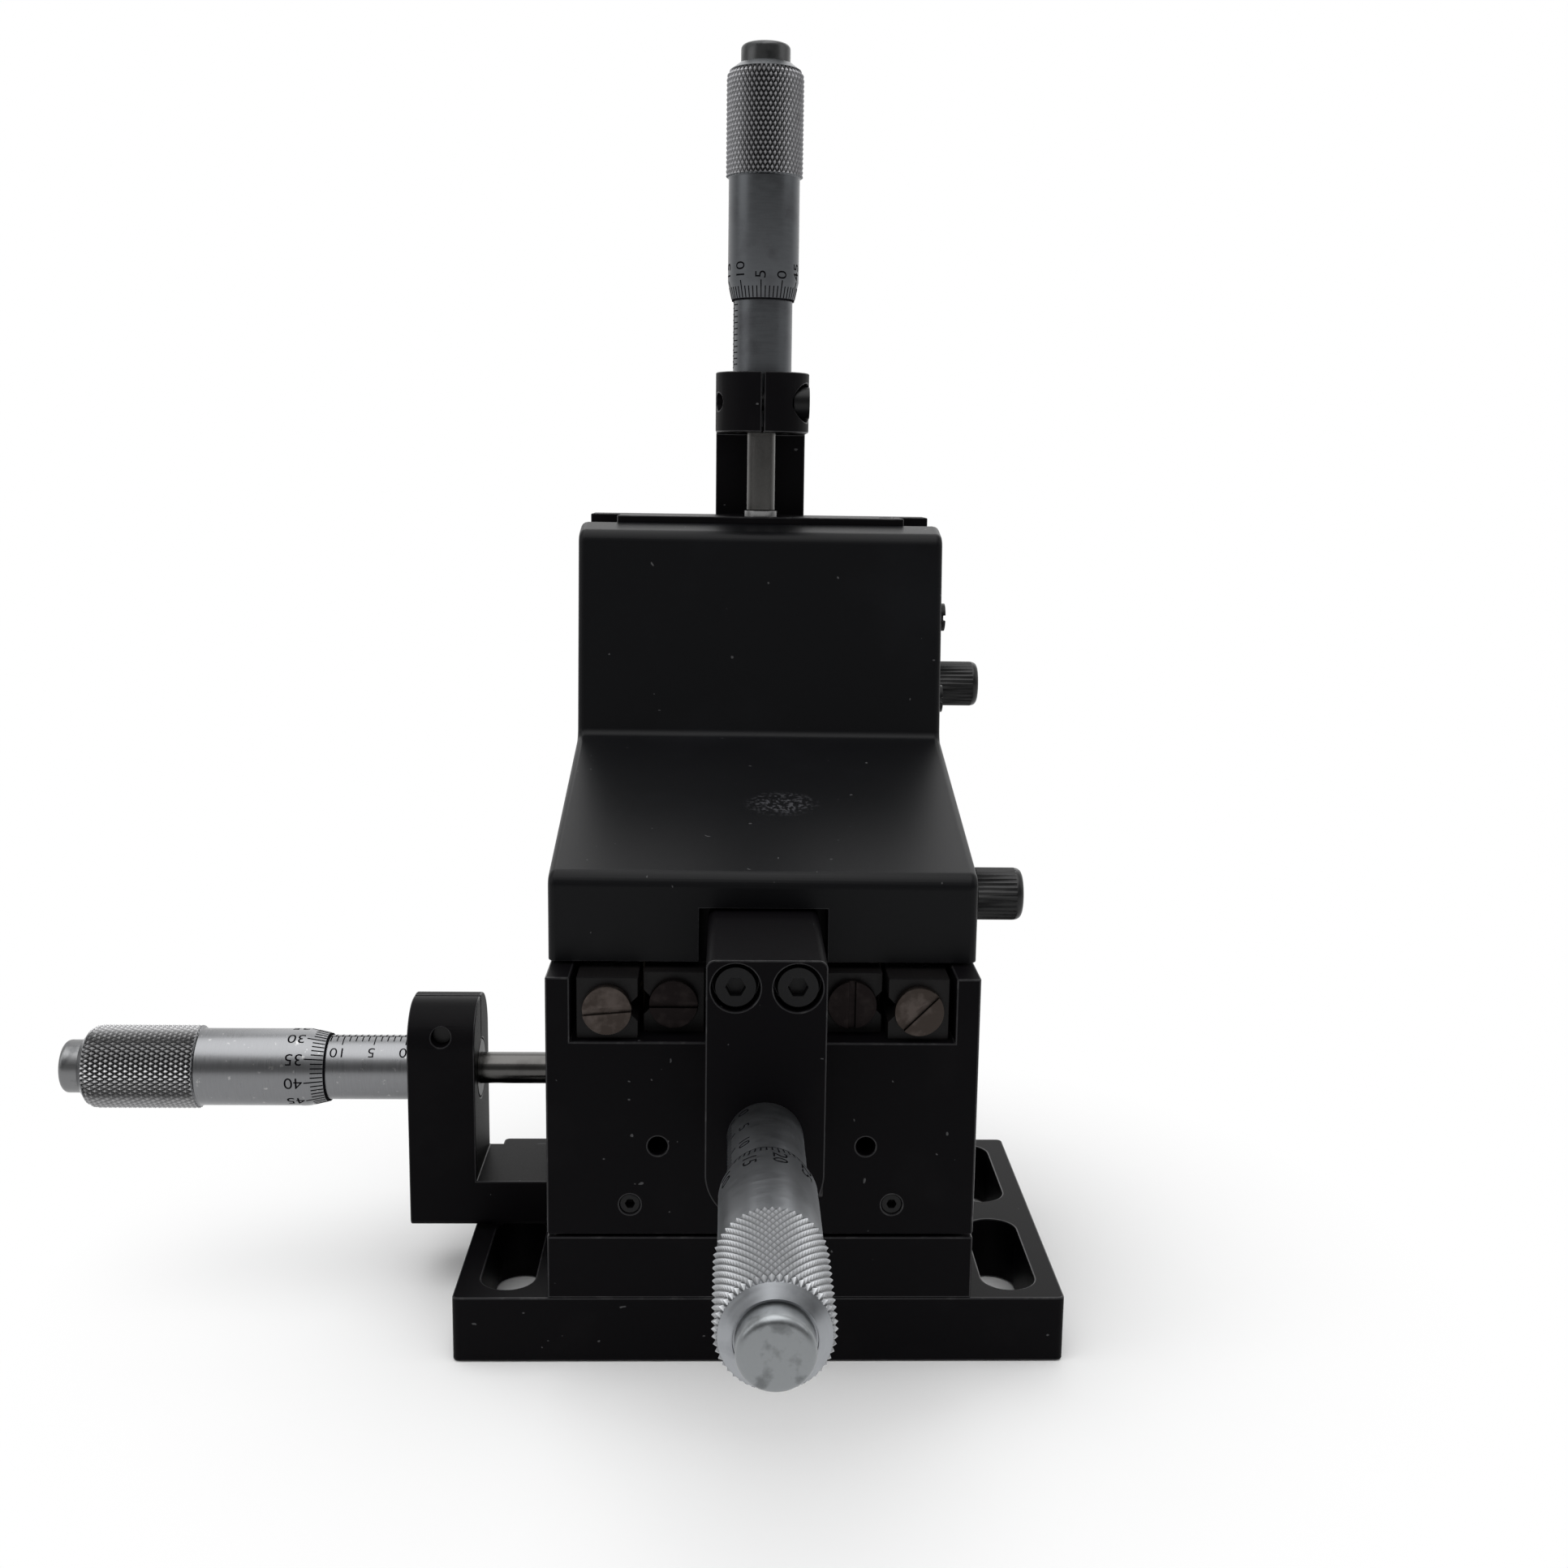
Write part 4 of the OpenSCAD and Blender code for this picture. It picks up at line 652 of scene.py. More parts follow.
@dataclass
class MicrometerHead:
    """One micrometer head: sleeve, spindle, thimble with its knurled grip, end cap and marks.

    Its own frame has its origin on the axis at the clamp's outer face and Z to the end cap.
    Sizes are in millimetres: a name ends in _r for a radius, _l for a length along the axis,
    _w for a width round it and _h for a height over the surface or of a digit.

    Attributes:
        axis: Which slide the head drives.
        chrome: Finish of its turned pieces, at this head's level of painted light and shade.
        knurled: Finish of its knurled band, at this head's level of painted light and shade.
        cap: Finish of its end cap, at this head's level of painted light and shade.
        datum_degrees: Angle of the sleeve's long line in the head's own frame.
        number_at_line: Thimble number that stands at the sleeve's long line.
        place: Where its own frame lies.
        rim: Height of the thimble's rim in that frame.
        grip_end: Height of the grip's end in it.
    """

    axis: Axis
    chrome: Finish
    knurled: Finish
    cap: Finish
    datum_degrees: float
    number_at_line: float
    # Sleeve, with its stem in the clamp
    sleeve_r: float = 5.1
    sleeve_l: float = 29.1
    edge: float = 0.2
    bore_r: float = 3.5
    stem_r: float = 4.75
    stem_bevel: float = 0.3
    stem_dark_l: float = 1.0
    guide_r: float = 2.55
    guide_depth: float = 1.5
    # Thimble, with a thin ring at its rim that is painted black as the shade in the gap at the rim
    ring_l: float = 0.28
    ring_r: float = 5.4
    rim_r: float = 5.45
    bevel_l: float = 2.9
    thimble_r: float = 6.1
    thimble_l: float = 20.0
    cavity_r: float = 5.15
    cavity_l: float = 33.0
    # Grip and its knurl
    grip_r: float = 6.6
    grip_l: float = 18.6
    grip_step_l: float = 0.1
    knurl_lead: float = 0.35
    round_l: float = 1.3
    round_r: float = 0.5
    cone_l: float = 1.1
    cone_r: float = 4.6
    cone_step: tuple[float, float] = (0.12, 0.06)
    knurls: int = 48
    knurl_rows: int = 22
    knurl_depth: float = 0.36
    # End cap, with its spigot in the thimble
    seat_r: float = 4.4
    seat_bevel: float = 0.05
    seat_depth: float = 0.25
    spigot_r: float = 2.5
    spigot_l: float = 2.0
    play: float = 0.1
    cap_r: float = 4.2
    cap_l: float = 3.2
    cap_sink: float = 0.2
    cap_round: float = 0.9
    # Spindle
    spindle_r: float = 2.5
    thread_r: float = 3.45
    thread_lead: float = 1.0
    thread_l: float = 32.5
    tail_r: float = 1.75
    tail_hole_r: float = 1.8
    tail_gap: float = 0.5
    # Marks
    zero_mark: float = 1.1
    travel: int = 25
    divisions: int = 50
    tick_w: float = 0.17
    tick_short: float = 1.65
    tick_long: float = 2.5
    tick_cuts: int = 3
    number_every: int = 5
    mark_h: float = 0.02
    mark_lead: float = 0.03
    number_h: float = 1.72
    number_gap: float = 0.55
    number_lead: float = 0.1
    number_stretch: float = 1.13
    digit_tall: float = 0.73
    digit_w: float = 0.42
    digit_offset: float = -0.008
    digit_steps: int = 6
    thimble_mark_size: float = 1.13
    place: Matrix = field(init=False)
    rim: float = field(init=False)
    grip_end: float = field(init=False)

    def __post_init__(self) -> None:
        """Works out the head's place from the solids."""
        name, way = self.axis.value, list(Axis).index(self.axis)
        sleeve, bracket, thimble = (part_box(f"{name}_{part}") for part in ("sleeve", "bracket", "thimble"))
        outer, near = (1, 0) if self.axis is Axis.Z else (0, 1)
        origin = (sleeve[0] + sleeve[1]) / 2
        origin[way] = bracket[outer][way]
        self.rim = abs(thimble[near][way] - origin[way]) / MM
        self.place = Matrix.Translation(origin) @ HEAD_TURNS[self.axis]
        self.grip_end = self.rim + self.thimble_l + self.grip_l

    def build(self) -> None:
        """Builds all pieces of the head."""
        self.build_sleeve()
        self.build_thimble()
        self.build_cap()
        self.build_spindle()
        self.build_sleeve_marks()
        self.build_thimble_marks()

    def _finish(self, piece: bpy.types.Object, finish: Finish, part: str, *nodes: str) -> None:
        """Dresses a piece and puts it in place.

        Args:
            piece: The piece in the head's own frame.
            finish: Its finish.
            part: Which solid of the head it goes with.
            nodes: Parts of the head whose solids it replaces.
        """
        name = self.axis.value
        settle(piece, self.place)
        dress(piece, finish)
        smooth(piece)
        finish_piece(piece, f"{name}_{part}", *(f"{name}_{n}" for n in nodes))

    def _length(self, part: str) -> float:
        """Length of one of the head's solids along the head.

        Args:
            part: Which solid.

        Returns:
            The length, in millimetres.
        """
        low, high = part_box(f"{self.axis.value}_{part}")
        return max(high - low) / MM

    def build_sleeve(self) -> None:
        """The sleeve with its stem in the clamp and its bore at the cap side."""
        top, guide = self.sleeve_l, -self.guide_depth
        clamp = self._length("sleeve") - top
        outline = [(self.guide_r, -clamp), (self.stem_r - self.stem_bevel, -clamp),
                   (self.stem_r, self.stem_bevel - clamp), (self.stem_r, self.stem_dark_l - clamp),
                   (self.stem_r, 0), (self.sleeve_r, 0), (self.sleeve_r, top - self.edge),
                   (self.sleeve_r - self.edge, top), (self.bore_r, top), (self.bore_r, guide),
                   (self.guide_r, guide)]
        piece = turned(f"{self.axis.value}_head_sleeve", outline, ROUND_STEPS)
        self._finish(piece, self.chrome, "sleeve", "sleeve")
        self._paint_band(piece, OXIDE, -clamp, self.stem_dark_l - clamp, self.spindle_r)

    def grip_radius(self, height: float) -> float:
        """Radius over the knurls at a height, which gets less over the rounded end.

        Args:
            height: Height in the head's own frame.

        Returns:
            The radius.
        """
        knurl_end = self.grip_end - self.cone_l
        share = min(max(1 - (knurl_end - height) / self.round_l, 0), 1)
        return self.grip_r - self.round_r * share ** 2

    def build_thimble(self) -> None:
        """The thimble: a bevelled rim, a plain barrel and a diamond-knurled grip."""
        end = self.grip_end
        barrel_end = self.rim + self.thimble_l
        knurl_start = barrel_end + self.knurl_lead
        knurl_end = end - self.cone_l
        step = (knurl_end - knurl_start) / self.knurl_rows
        heights = [knurl_start + i * step for i in range(self.knurl_rows + 1)]
        ring = self.rim - self.ring_l
        cavity_end = self.rim + self.cavity_l
        side, along = self.cone_step
        outline = [(self.cavity_r, ring), (self.ring_r, ring), (self.ring_r, self.rim),
                   (self.rim_r, self.rim), (self.thimble_r, self.rim + self.bevel_l),
                   (self.thimble_r, barrel_end),
                   (self.grip_r - self.knurl_lead, barrel_end + self.grip_step_l),
                   *((self.grip_radius(height), height) for height in heights),
                   (self.grip_r - self.round_r - side, knurl_end + along), (self.cone_r, end),
                   (self.seat_r + self.seat_bevel, end), (self.seat_r, end - self.seat_depth),
                   (self.spigot_r, end - self.seat_depth), (self.spigot_r, end - self.spigot_l),
                   (self.tail_hole_r, end - self.spigot_l), (self.tail_hole_r, cavity_end),
                   (self.cavity_r, cavity_end)]
        steps = 2 * self.knurls
        piece = turned(f"{self.axis.value}_head_thimble", outline, steps)
        self._cut_knurls(piece, knurl_start, step, steps)
        self._finish(piece, self.chrome, "thimble", "thimble")
        self._paint_band(piece, self.knurled, knurl_start, knurl_end, self.cone_r)
        # Painted shade: the thin ring and the rim's face are painted black as the shadow in the gap at the
        # rim
        self._paint_band(piece, INK_AND_SHADE, ring, self.rim, self.cone_r)

    def _paint_band(self, piece: bpy.types.Object, finish: Finish, start: float, end: float,
                    least_r: float) -> None:
        """Gives one band of a placed piece's outside its own finish.

        Args:
            piece: The piece.
            finish: The band's finish.
            start: Where the band starts along the head, in millimetres.
            end: Where it ends.
            least_r: Radius outside which its points lie.
        """
        back = self.place.inverted()

        def in_band(face: bmesh.types.BMFace) -> bool:
            """Whether all corners of a face lie in the band, outside the bore."""
            corners = [back @ v.co / MM for v in face.verts]
            return all(start - TOUCH < c.z < end + TOUCH and c.xy.length > least_r for c in corners)

        piece.data.materials.append(finish.material())
        with editing(piece):
            found = pick(piece, "FACE", in_band)
            piece.active_material_index = len(piece.data.materials) - 1
            bpy.ops.object.material_slot_assign()
        LOG.info("%s: %d faces of %s", piece.name, found, finish.name)

    def _cut_knurls(self, piece: bpy.types.Object, start: float, step: float, steps: int) -> None:
        """Cuts crossing grooves into the grip and marks their bottoms for painted shade.

        Args:
            piece: The thimble in the head's own frame.
            start: Height of the first row of points, in millimetres.
            step: Distance between rows, in millimetres.
            steps: Points in a row.
        """

        def cell(point: Vector) -> tuple[int, int]:
            """Column and row of a point of the grip."""
            column = round(math.atan2(point.y, point.x) / FULL_TURN * steps) % steps
            return column, round((point.z / MM - start) / step)

        def on_grip(point: Vector) -> bool:
            """Whether a point lies on the grip's outer surface."""
            height = point.z / MM
            least_r = (self.grip_radius(height) - TOUCH) * MM
            return height > start - step / 2 and point.xy.length > least_r

        def is_groove(point: object) -> bool:
            """Whether a point lies at a crossing of two grooves."""
            return on_grip(point.co) and sum(cell(point.co)) % 2 == 1

        def leans(face: bmesh.types.BMFace, odd: int) -> bool:
            """Whether a face of the band has its first corner at a groove or at a tip."""
            corners = [v.co for v in face.verts]
            in_grip = len(corners) == 4 and all(on_grip(c) for c in corners)
            return in_grip and sum(cell(corners[0])) % 2 == odd

        with editing(piece):
            pick(piece, "FACE", lambda face: leans(face, 1))
            bpy.ops.mesh.quads_convert_to_tris(quad_method="FIXED")
            pick(piece, "FACE", lambda face: leans(face, 0))
            bpy.ops.mesh.quads_convert_to_tris(quad_method="FIXED_ALTERNATE")
        # Painted shade at the groove bottoms, for the knurled finish
        cut_grooves(piece, is_groove, is_groove, self.knurl_depth / self.grip_r)

    def build_cap(self) -> None:
        """The end cap with its rounded edge and its spigot."""
        base = self.grip_end - self.cap_sink
        top = self.grip_end + self.cap_l
        foot = self.grip_end - self.spigot_l + self.play
        foot_r = self.spigot_r - self.play
        outline = [(0, foot), (foot_r, foot), (foot_r, base), (self.cap_r, base),
                   *arc(self.cap_r, top - self.cap_round, self.cap_r - self.cap_round, top), (0, top)]
        piece = turned(f"{self.axis.value}_head_cap", outline, ROUND_STEPS)
        self._finish(piece, self.cap, "end_cap", "end_cap")

    def build_spindle(self) -> None:
        """The spindle with its bevelled tip."""
        top = self.grip_end - self.spigot_l - self.tail_gap
        tip = top - self._length("spindle")
        thread = self.rim - self.zero_mark - self.thread_lead
        thread_end = self.rim + self.thread_l
        outline = [(0, tip), (self.spindle_r - self.edge, tip), (self.spindle_r, tip + self.edge),
                   (self.spindle_r, thread), (self.thread_r, thread), (self.thread_r, thread_end),
                   (self.tail_r, thread_end), (self.tail_r, top), (0, top)]
        piece = turned(f"{self.axis.value}_head_spindle", outline, SPINDLE_STEPS)
        self._finish(piece, BRIGHT, "spindle", "spindle")

    def _bar(self, along: float, round_at: float, length: float, width: float) -> bpy.types.Object:
        """One flat mark before it is wrapped: X runs along the head, Y round it.

        Args:
            along: Start of the mark along the head.
            round_at: Middle of the mark round the head.
            length: Size along X.
            width: Size along Y.

        Returns:
            The mark as a thin closed bar.
        """
        bpy.ops.mesh.primitive_cube_add(size=1, location=(along + length / 2, round_at, self.mark_h / 2))
        bar = bpy.context.object
        bar.scale = (length, width, 2 * self.mark_h)
        return bar

    def _number(self, value: int, along: float, round_at: float, tall: float) -> bpy.types.Object:
        """One number before it is wrapped, reading from the clamp to the cap.

        Args:
            value: The number.
            along: Start of its first digit along the head.
            round_at: Middle of the number round the head.
            tall: Height of its digits.

        Returns:
            The number as a thin closed mesh.
        """
        bpy.ops.object.text_add(location=(along, round_at, 0))
        text = bpy.context.object
        text.data.body = str(value)
        text.data.size = tall / self.digit_tall
        text.data.extrude = self.mark_h
        text.data.offset = self.digit_offset
        text.data.resolution_u = self.digit_steps
        text.data.align_y = "CENTER"
        bpy.ops.object.convert(target="MESH")
        number = bpy.context.object
        with editing(number):
            for i in range(1, self.digit_steps):
                level = tall * (i / self.digit_steps - 0.5)
                on_whole(bpy.ops.mesh.bisect, plane_co=(0, level + round_at, 0), plane_no=(0, 1, 0))
            on_whole(bpy.ops.mesh.remove_doubles, threshold=MERGE_NUMBER)
            on_whole(bpy.ops.transform.resize, value=(self.number_stretch, 1, 1),
                     center_override=(along, round_at, 0))
        return number

    def _wrap(self, bars: list[bpy.types.Object], name: str, radius_at: Callable[[float], float],
              line_r: float) -> bpy.types.Object:
        """Joins flat marks and wraps them round the head.

        Args:
            bars: The flat marks.
            name: Name of the joined piece.
            radius_at: Radius of the surface at a place along the head.
            line_r: Radius at which a mark keeps its flat width.

        Returns:
            The marks in the head's own frame, in metres.
        """
        deselect_all()
        for bar in bars:
            bar.select_set(True)
        bpy.context.view_layer.objects.active = bars[0]
        bpy.ops.object.transform_apply(location=True, rotation=True, scale=True)
        bpy.ops.object.join()
        piece = bpy.context.object
        piece.name = name
        piece.data.name = name
        line = math.radians(self.datum_degrees)
        for point in piece.data.vertices:
            along, arc_l, height = point.co
            angle = line - arc_l / line_r
            radius = radius_at(along) + height
            point.co = Vector((radius * math.cos(angle), radius * math.sin(angle), along)) * MM
        return piece

    def build_sleeve_marks(self) -> None:
        """The sleeve's long line, its ticks at each half millimetre and its numbers."""
        bars = [self._bar(self.zero_mark, 0, self.travel, self.tick_w)]
        for half in range(2 * self.travel + 1):
            at = self.zero_mark + half / 2 - self.tick_w / 2
            if half % 2:
                size, side = self.tick_short, -1
            else:
                is_long = half % (2 * self.number_every) == 0
                size, side = (self.tick_long if is_long else self.tick_short), 1
            bars.append(self._bar(at, side * size / 2, self.tick_w, size))
            with editing(bars[-1]):
                on_whole(bpy.ops.mesh.subdivide, number_cuts=self.tick_cuts)
        for value in range(0, self.travel + 1, self.number_every):
            wide = self.number_h * self.number_stretch * self.digit_w * len(str(value))
            at = self.zero_mark + value - wide / 2
            side = self.tick_long + self.number_gap + self.number_h / 2
            bars.append(self._number(value, at, side, self.number_h))
        piece = self._wrap(bars, f"{self.axis.value}_head_sleeve_marks", lambda along: self.sleeve_r,
                           self.sleeve_r)
        self._finish(piece, INK_AND_SHADE, "sleeve")

    def build_thimble_marks(self) -> None:
        """The thimble's divisions on its bevel, and its numbers behind them."""
        bars = []
        for i in range(self.divisions):
            turn_share = (i - self.number_at_line) / self.divisions
            at = turn_share * FULL_TURN * self.thimble_r
            is_long = i % self.number_every == 0
            size = (self.tick_long if is_long else self.tick_short) * self.thimble_mark_size
            width = self.tick_w * self.thimble_mark_size
            bars.append(self._bar(self.rim + self.mark_lead, at, size, width))
            if is_long:
                tall = self.number_h * self.thimble_mark_size
                bars.append(self._number(i, self.rim + self.bevel_l + self.number_lead, at, tall))

        def radius_at(along: float) -> float:
            """Radius of the thimble's surface at a place along the head."""
            share = min(max((along - self.rim) / self.bevel_l, 0), 1)
            return self.rim_r + share * (self.thimble_r - self.rim_r)

        piece = self._wrap(bars, f"{self.axis.value}_head_thimble_marks", radius_at, self.thimble_r)
        self._finish(piece, INK_AND_SHADE, "thimble")


@dataclass
class FineKnob:
    """One straight-knurled knob on its screw. Sizes are in millimetres.

    Attributes:
        name: The rotation that it turns.
        ribs: Ribs of the knurl, with the depth of its grooves, their step and their end's gap.
        radius: Radius of the knob, with its length, the bevel at its base and its rounded end.
        face_r: Radius of the sunk middle of its end, with its bevel and depth.
        screw_r: Radius of its screw, with the radius and length of the screw's tip.
    """

    name: str
    ribs: int = 34
    rib_depth: float = 0.22
    rib_step: float = 0.05
    rib_gap: float = 0.2
    radius: float = 4.0
    length: float = 7.5
    base_bevel: float = 0.5
    end_round: float = 1.0
    face_r: float = 1.5
    face_bevel: float = 0.1
    face_depth: float = 0.12
    screw_r: float = 2.0
    tip_r: float = 1.2
    tip_l: float = 3.5

    def build(self) -> None:
        """Builds the knob over its solid."""
        node = f"{self.name}_knob"
        low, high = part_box(node)
        top = (high.x - low.x) / MM
        base = top - self.length
        body_r = self.radius - self.rib_step
        face = top - self.face_depth
        outline = [(0, 0), (self.tip_r, 0), (self.tip_r, self.tip_l), (self.screw_r, self.tip_l),
                   (self.screw_r, base), (self.radius - self.base_bevel, base),
                   (body_r, base + self.base_bevel - self.rib_step), (self.radius, base + self.base_bevel),
                   (self.radius, top - self.end_round - self.rib_gap),
                   *arc(body_r, top - self.end_round, body_r - self.end_round, top),
                   (self.face_r + self.face_bevel, top), (self.face_r, face), (0, face)]
        piece = turned(f"{self.name}_knurled_knob", outline, 2 * self.ribs)

        def is_groove(point: object) -> bool:
            """Whether a point lies at the bottom of a groove between two ribs."""
            column = round(math.atan2(point.co.y, point.co.x) / FULL_TURN * 2 * self.ribs)
            return point.co.xy.length > (self.radius - TOUCH) * MM and column % 2 == 1

        def is_dark(point: object) -> bool:
            """Whether a point gets painted shade: it lies in a groove or nearer to the axis than the ribs.
            """
            return is_groove(point) or point.co.xy.length < (self.radius - self.rib_depth / 2) * MM

        # Points in the grooves and nearer to the axis than the ribs get painted shade
        cut_grooves(piece, is_groove, is_dark, self.rib_depth / self.radius)
        middle = (low + high) / 2
        place = Matrix.Translation((low.x, middle.y, middle.z))
        settle(piece, place @ Matrix.Rotation(math.pi / 2, 4, "Y"))
        dress(piece, KNOB_BLACK)
        smooth(piece)
        finish_piece(piece, node, node)


@dataclass
class SheetCover:
    """The bent cover: its side bends are rounded, its cut edges are thin and painted lighter as a
    highlight.

    Attributes:
        bend_mm: Radius of the bends between the face and the side panels.
        bend_steps: Steps of those bends.
        edge_mm: Rounding of the cut edges.
        side_lean: How far a face across the cover may turn sideways, as a share of its normal,
            with how far a bent one may turn down and back.
        low: Lower corner of the cover's box.
        high: Its upper corner.
    """

    bend_mm: float = 1.2
    bend_steps: int = 4
    edge_mm: float = 0.12
    side_lean: float = 0.1
    down_lean: float = 0.05
    back_lean: float = 0.3
    low: Vector = field(init=False)
    high: Vector = field(init=False)

    def __post_init__(self) -> None:
        """Reads the cover's box."""
        self.low, self.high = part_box("cover")

    def build(self) -> None:
        """Builds the cover over its solid."""
        piece = merged_copy("cover", "bent_cover", COVER_BLACK, COVER_EDGE_HIGHLIGHT)
        body = self._rounded_body()
        modify(piece, "BOOLEAN", operation="INTERSECT", solver="EXACT", object=body)
        bpy.data.objects.remove(body)
        soften(piece, self.edge_mm)
        finish_piece(piece, "cover", "cover")

    def _rounded_body(self) -> bpy.types.Object:
        """A full block with the cover's side outline, whose side bends are rounded.

        Returns:
            The block, which is to be intersected with the cover.
        """
        body = merged_copy("cover", "cover_body", COVER_BLACK, COVER_EDGE_HIGHLIGHT)
        with editing(body):
            pick(body, "FACE", lambda face: any(v.co.x > self.low.x + TOUCH * MM for v in face.verts))
            bpy.ops.mesh.delete(type="FACE")
        modify(body, "SOLIDIFY", thickness=self.high.x - self.low.x, offset=-1)

        def on_bend(edge: bmesh.types.BMEdge) -> bool:
            """Whether an edge lies on a side panel, beside a face that shows from the front or above."""
            first, second = edge.verts
            across = [face.normal for face in edge.link_faces if abs(face.normal.x) < self.side_lean]
            outer = all(way.z > -self.down_lean and way.y < self.back_lean for way in across)
            return abs(first.co.x - second.co.x) < TOUCH * MM and outer

        with editing(body):
            pick(body, "EDGE", on_bend)
            bpy.ops.mesh.bevel(offset=self.bend_mm * MM, segments=self.bend_steps, profile=0.5,
                               clamp_overlap=False)
        return body


@dataclass
class Studio:
    """Camera, floor, backdrop and soft lamps.

    Attributes:
        picture_px: Side of the square photograph.
        focal_px: Focal length in its pixels.
        camera_mm: Place of the camera, which its three angles turn.
        floor_color: Colour of the floor near the mount, with its darkest share.
        shadow_reach: Distances between which the floor turns white, in metres.
        room_level: Brightness of the room that mirrors see behind and above the camera.
        diffuse_level: Brightness of the surroundings as a light.
        floor_m: Side of the floor, with its gap below the base plate.
        behind_band: Where that room starts and ends behind the camera, and above_band above it.
        aim_mm: Where all lamps point.
    """

    picture_px: float = 1932.0
    focal_px: float = 2168.0
    camera_mm: tuple[float, float, float] = (-5.37, -271.89, 129.32)
    pitch_degrees: float = 79.92
    yaw_degrees: float = -1.86
    roll_degrees: float = 0.83
    floor_color: tuple[float, float, float] = (0.9, 0.9, 0.9)
    shadow_reach: tuple[float, float] = (0.05, 0.115)
    room_level: float = 0.22
    diffuse_level: float = 0.55
    floor_m: float = 8.0
    floor_gap_m: float = 0.0001
    floor_shade: float = 0.98
    floor_grain: float = 40.0
    behind_band: tuple[float, float] = (0.0, -0.55)
    above_band: tuple[float, float] = (-0.45, -0.85)
    aim_mm: tuple[float, float, float] = (0, 0, 80)

    def build(self) -> None:
        """Builds the whole studio."""
        self.build_camera()
        self.build_floor()
        self.build_world()
        self.build_lamps()

    def build_camera(self) -> None:
        """The camera at the photograph's place."""
        data = bpy.data.cameras.new("camera")
        data.sensor_width = 36.0
        data.lens = self.focal_px / self.picture_px * data.sensor_width
        data.clip_start = 0.01
        data.clip_end = 20
        camera = bpy.data.objects.new("camera", data)
        bpy.context.scene.collection.objects.link(camera)
        camera.matrix_world = (
            Matrix.Translation(Vector(self.camera_mm) * MM)
            @ Matrix.Rotation(math.radians(self.yaw_degrees), 4, "Z")
            @ Matrix.Rotation(math.radians(self.pitch_degrees), 4, "X")
            @ Matrix.Rotation(math.radians(self.roll_degrees), 4, "Z")
        )
        bpy.context.scene.camera = camera

    def build_floor(self) -> None:
        """A wide pale floor that keeps the shadow near the base and turns white farther out."""
        level = CAD_BOX[0][2] - self.floor_gap_m
        bpy.ops.mesh.primitive_plane_add(size=self.floor_m, location=(0, 0, level))
        floor = bpy.context.object
        floor.name = "floor"
        material = bpy.data.materials.new("pale_floor")
        material.use_nodes = True
        graph = Graph(material.node_tree)
        place = graph.node("ShaderNodeTexCoord", {}).outputs["Object"]
        grain = graph.noise(place, self.floor_grain, 3.0)
        color = graph.blend(grain, self.floor_color, tuple(self.floor_shade * c for c in self.floor_color))
        shader = material.node_tree.nodes["Principled BSDF"]
        shader.inputs["Roughness"].default_value = 0.9
        shader.inputs["Specular IOR Level"].default_value = 0.05
        graph.tree.links.new(color, shader.inputs["Base Color"])
        far = graph.node("ShaderNodeVectorMath", {0: place}, operation="LENGTH").outputs["Value"]
        share = graph.math("MULTIPLY", self._seen(graph), graph.ramp(far, *self.shadow_reach))
        white = graph.node("ShaderNodeEmission", {"Color": (1, 1, 1, 1), "Strength": 1.0})
        mixed = graph.node("ShaderNodeMixShader", {0: share, 1: shader.outputs["BSDF"],
                                                   2: white.outputs["Emission"]})
        output = material.node_tree.nodes["Material Output"]
        graph.tree.links.new(mixed.outputs["Shader"], output.inputs["Surface"])
        floor.data.materials.append(material)
        settle(floor)

    @staticmethod
    def _seen(graph: Graph) -> bpy.types.NodeSocket:
        """Whether a ray is one that shows the background, straight, mirrored or through glass.

        Args:
            graph: Nodes to add to.

        Returns:
            One for such a ray and zero for others.
        """
        path = graph.node("ShaderNodeLightPath", {}).outputs
        return graph.math("MAXIMUM", graph.math("MAXIMUM", path["Is Camera Ray"], path["Is Glossy Ray"]),
                          path["Is Transmission Ray"])

    def build_world(self) -> None:
        """White where it is seen, plain for the rest, with a dim room behind the camera in mirrors."""
        world = bpy.data.worlds.new("studio_world")
        bpy.context.scene.world = world
        world.use_nodes = True
        graph = Graph(world.node_tree)
        way = graph.node("ShaderNodeNewGeometry", {}).outputs["Incoming"]
        parts = graph.node("ShaderNodeSeparateXYZ", {"Vector": way}).outputs
        behind = graph.ramp(parts["Y"], *self.behind_band)
        above = graph.ramp(parts["Z"], *self.above_band)
        mirrored = graph.ramp(graph.math("MAXIMUM", behind, above), 0.0, 1.0, self.room_level, 1.0)
        glossy = graph.node("ShaderNodeLightPath", {}).outputs["Is Glossy Ray"]
        level = graph.math("ADD", graph.math("MULTIPLY", glossy, mirrored),
                           graph.math("SUBTRACT", 1.0, glossy))
        shown = graph.ramp(self._seen(graph), 0.0, 1.0, self.diffuse_level, 1.0)
        strength = graph.math("MULTIPLY", shown, level)
        background = world.node_tree.nodes["Background"]
        graph.tree.links.new(strength, background.inputs["Strength"])
        background.inputs["Color"].default_value = (1, 1, 1, 1)

    def build_lamps(self) -> None:
        """Wide soft lamps, all aimed at the middle of the mount."""
        aim = Vector(self.aim_mm) * MM
        for name, place, size, power in (
            ("top", (-0.15, -0.15, 1.1), 1.2, 8.0),
            ("left", (-1.0, -0.25, 0.55), 0.7, 2.0),
            ("right", (1.0, -0.1, 0.6), 0.6, 1.2),
            ("rear", (0.1, 1.0, 0.7), 0.9, 2.0),
        ):
            data = bpy.data.lights.new(name, "AREA")
            data.shape = "SQUARE"
            data.size = size
            data.energy = power
            lamp = bpy.data.objects.new(name, data)
            bpy.context.scene.collection.objects.link(lamp)
            lamp.location = place
            lamp.rotation_euler = (aim - Vector(place)).to_track_quat("-Z", "Y").to_euler()


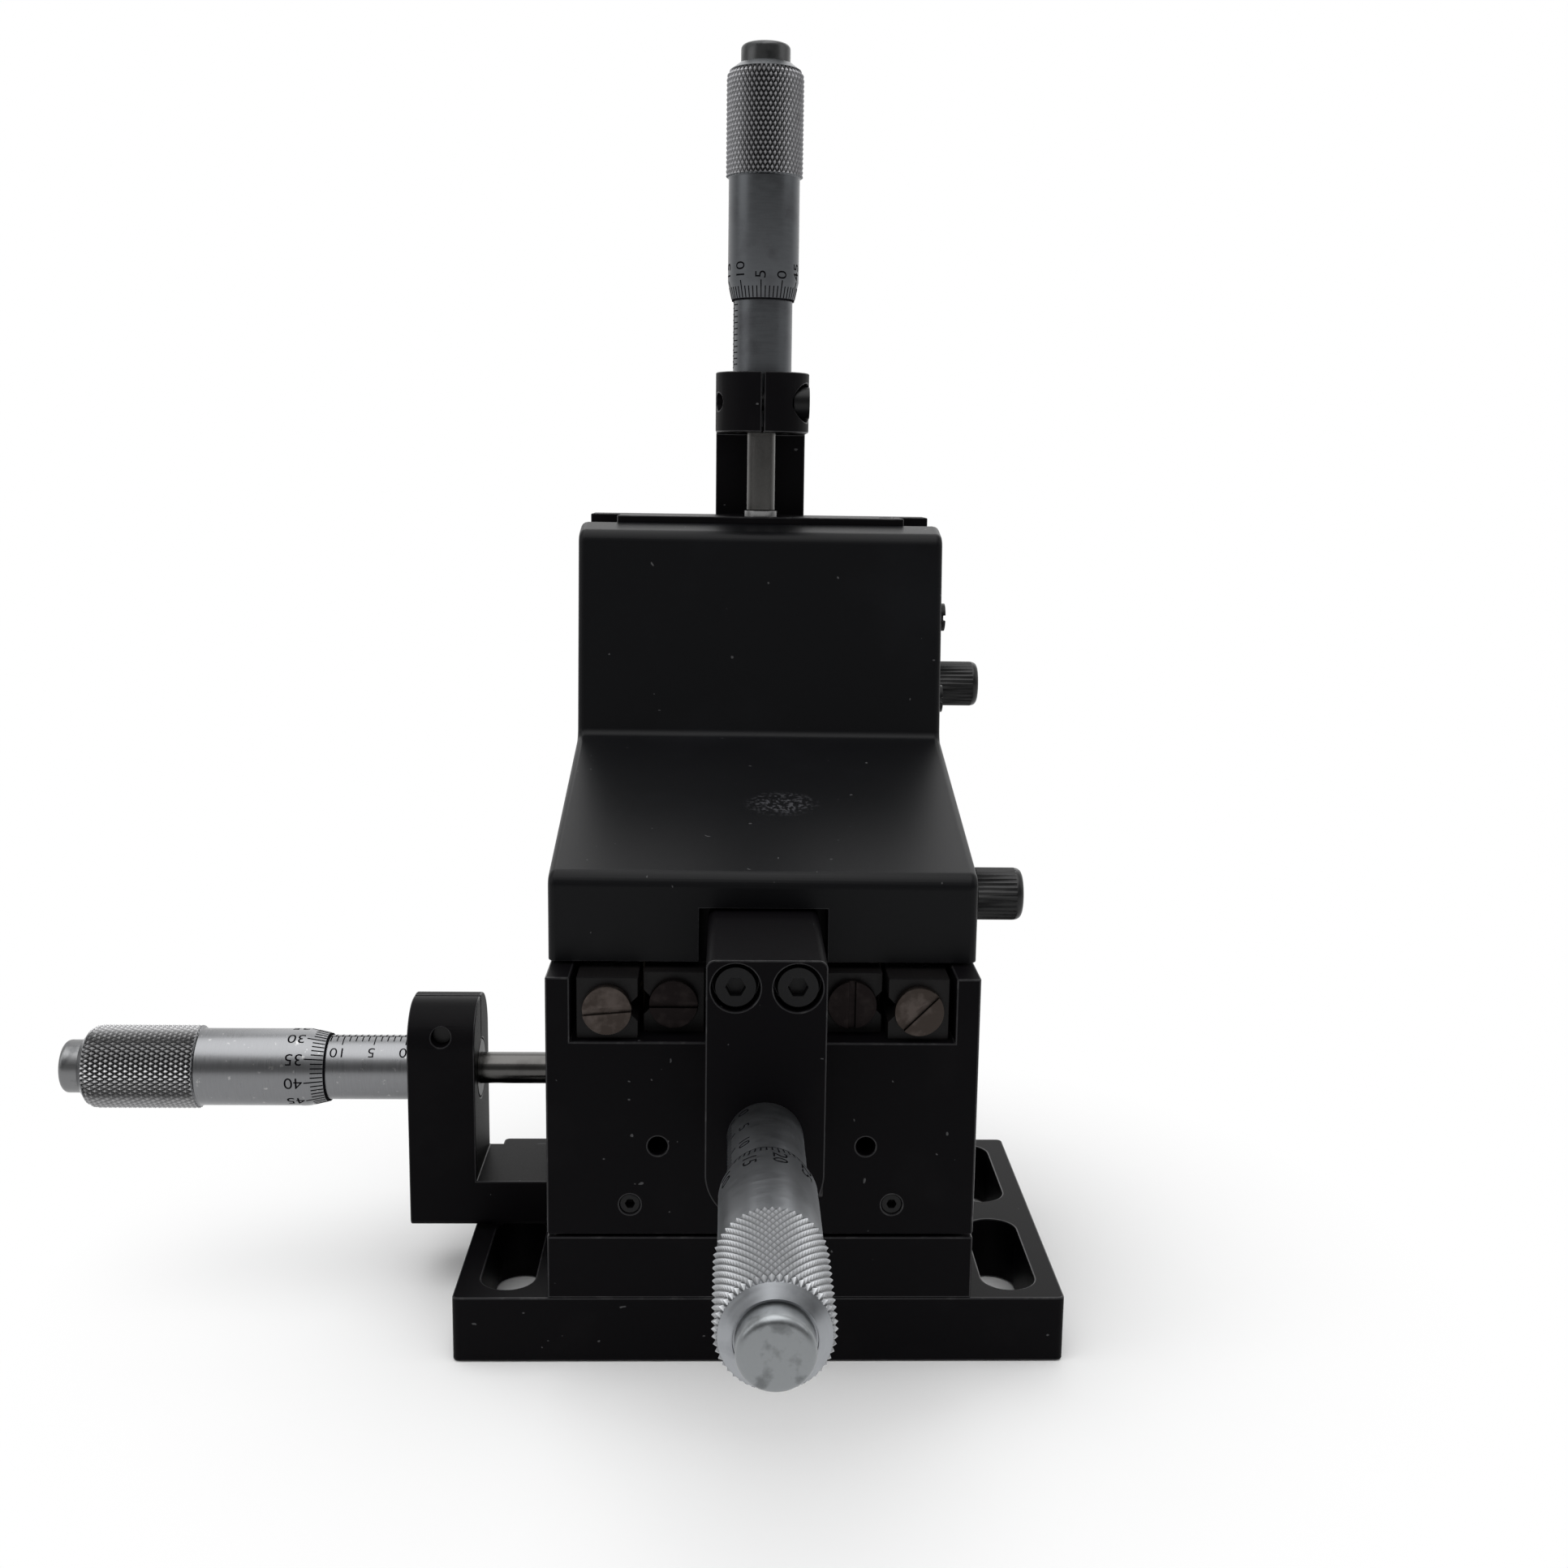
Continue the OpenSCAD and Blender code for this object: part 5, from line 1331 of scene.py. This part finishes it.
def main() -> None:
    """Builds the studio and dresses every sub-assembly in order."""
    logging.basicConfig(level=logging.INFO, format="%(message)s")
    bpy.context.scene.view_settings.view_transform = "Standard"
    Studio().build()
    Machined(("base_plate", "x_fixed_plate", "x_carriage_block"), BLACK, BLACK_EDGE_HIGHLIGHT, 0.25).build()
    Machined(("x_bracket", "y_bracket", "z_bracket"), BLACK, BLACK_EDGE_HIGHLIGHT, 0.2).build()
    Machined(("y_carriage", "knee", "z_column", "z_load_plate"), BLACK, BLACK_EDGE_HIGHLIGHT, 0.2).build()
    Machined(("x_fixed_rails", "x_moving_rails", "y_fixed_rails", "y_moving_rails", "z_fixed_rails",
              "z_moving_rails"), DARK_STEEL, DARK_STEEL, 0.12).build()
    Machined(("block_end_screws",), BRONZED, BRONZED, 0.1).build()
    Machined(("y_end_screws",), BRONZED_DARK, BRONZED_DARK, 0.1).build()
    Machined(("x_bracket_screws", "y_bracket_screws", "z_bracket_screws", "block_set_screws",
              "cover_screws", "base_screws"), OXIDE, OXIDE, 0.1).build()
    Machined(("block_side_screw", "x_anvil", "y_anvil", "z_anvil"), ANVIL, ANVIL, 0.08).build()
    SheetCover().build()
    MicrometerHead(Axis.X, CHROME_X, KNURLED_X, CAP_X, 90, 26.7).build()
    MicrometerHead(Axis.Y, CHROME_Y, KNURLED_Y, CAP_Y, 350, 7.2).build()
    MicrometerHead(Axis.Z, CHROME_Z, KNURLED_Z, CAP_Z, 12, 15.2).build()
    FineKnob("yaw").build()
    FineKnob("roll").build()
    Painted(("x_fixed_rail_bolts", "block_rail_bolts", "y_moving_rail_bolts", "z_fixed_rail_bolts",
             "z_moving_rail_bolts"), OXIDE).build()
    Painted(("x_return_spring", "y_return_spring"), SPRING).build()
    Painted(("yaw_pad", "roll_pad"), BRASS).build()
    Painted(("x_roller_cages", "y_roller_cages", "z_roller_cages"), CAGE).build()
    Painted(("yaw_washer", "roll_washer"), WASHER).build()
    Painted(("yaw_pivot_pin", "roll_pivot_pin"), BRIGHT).build()


if __name__ == "__main__":
    main()
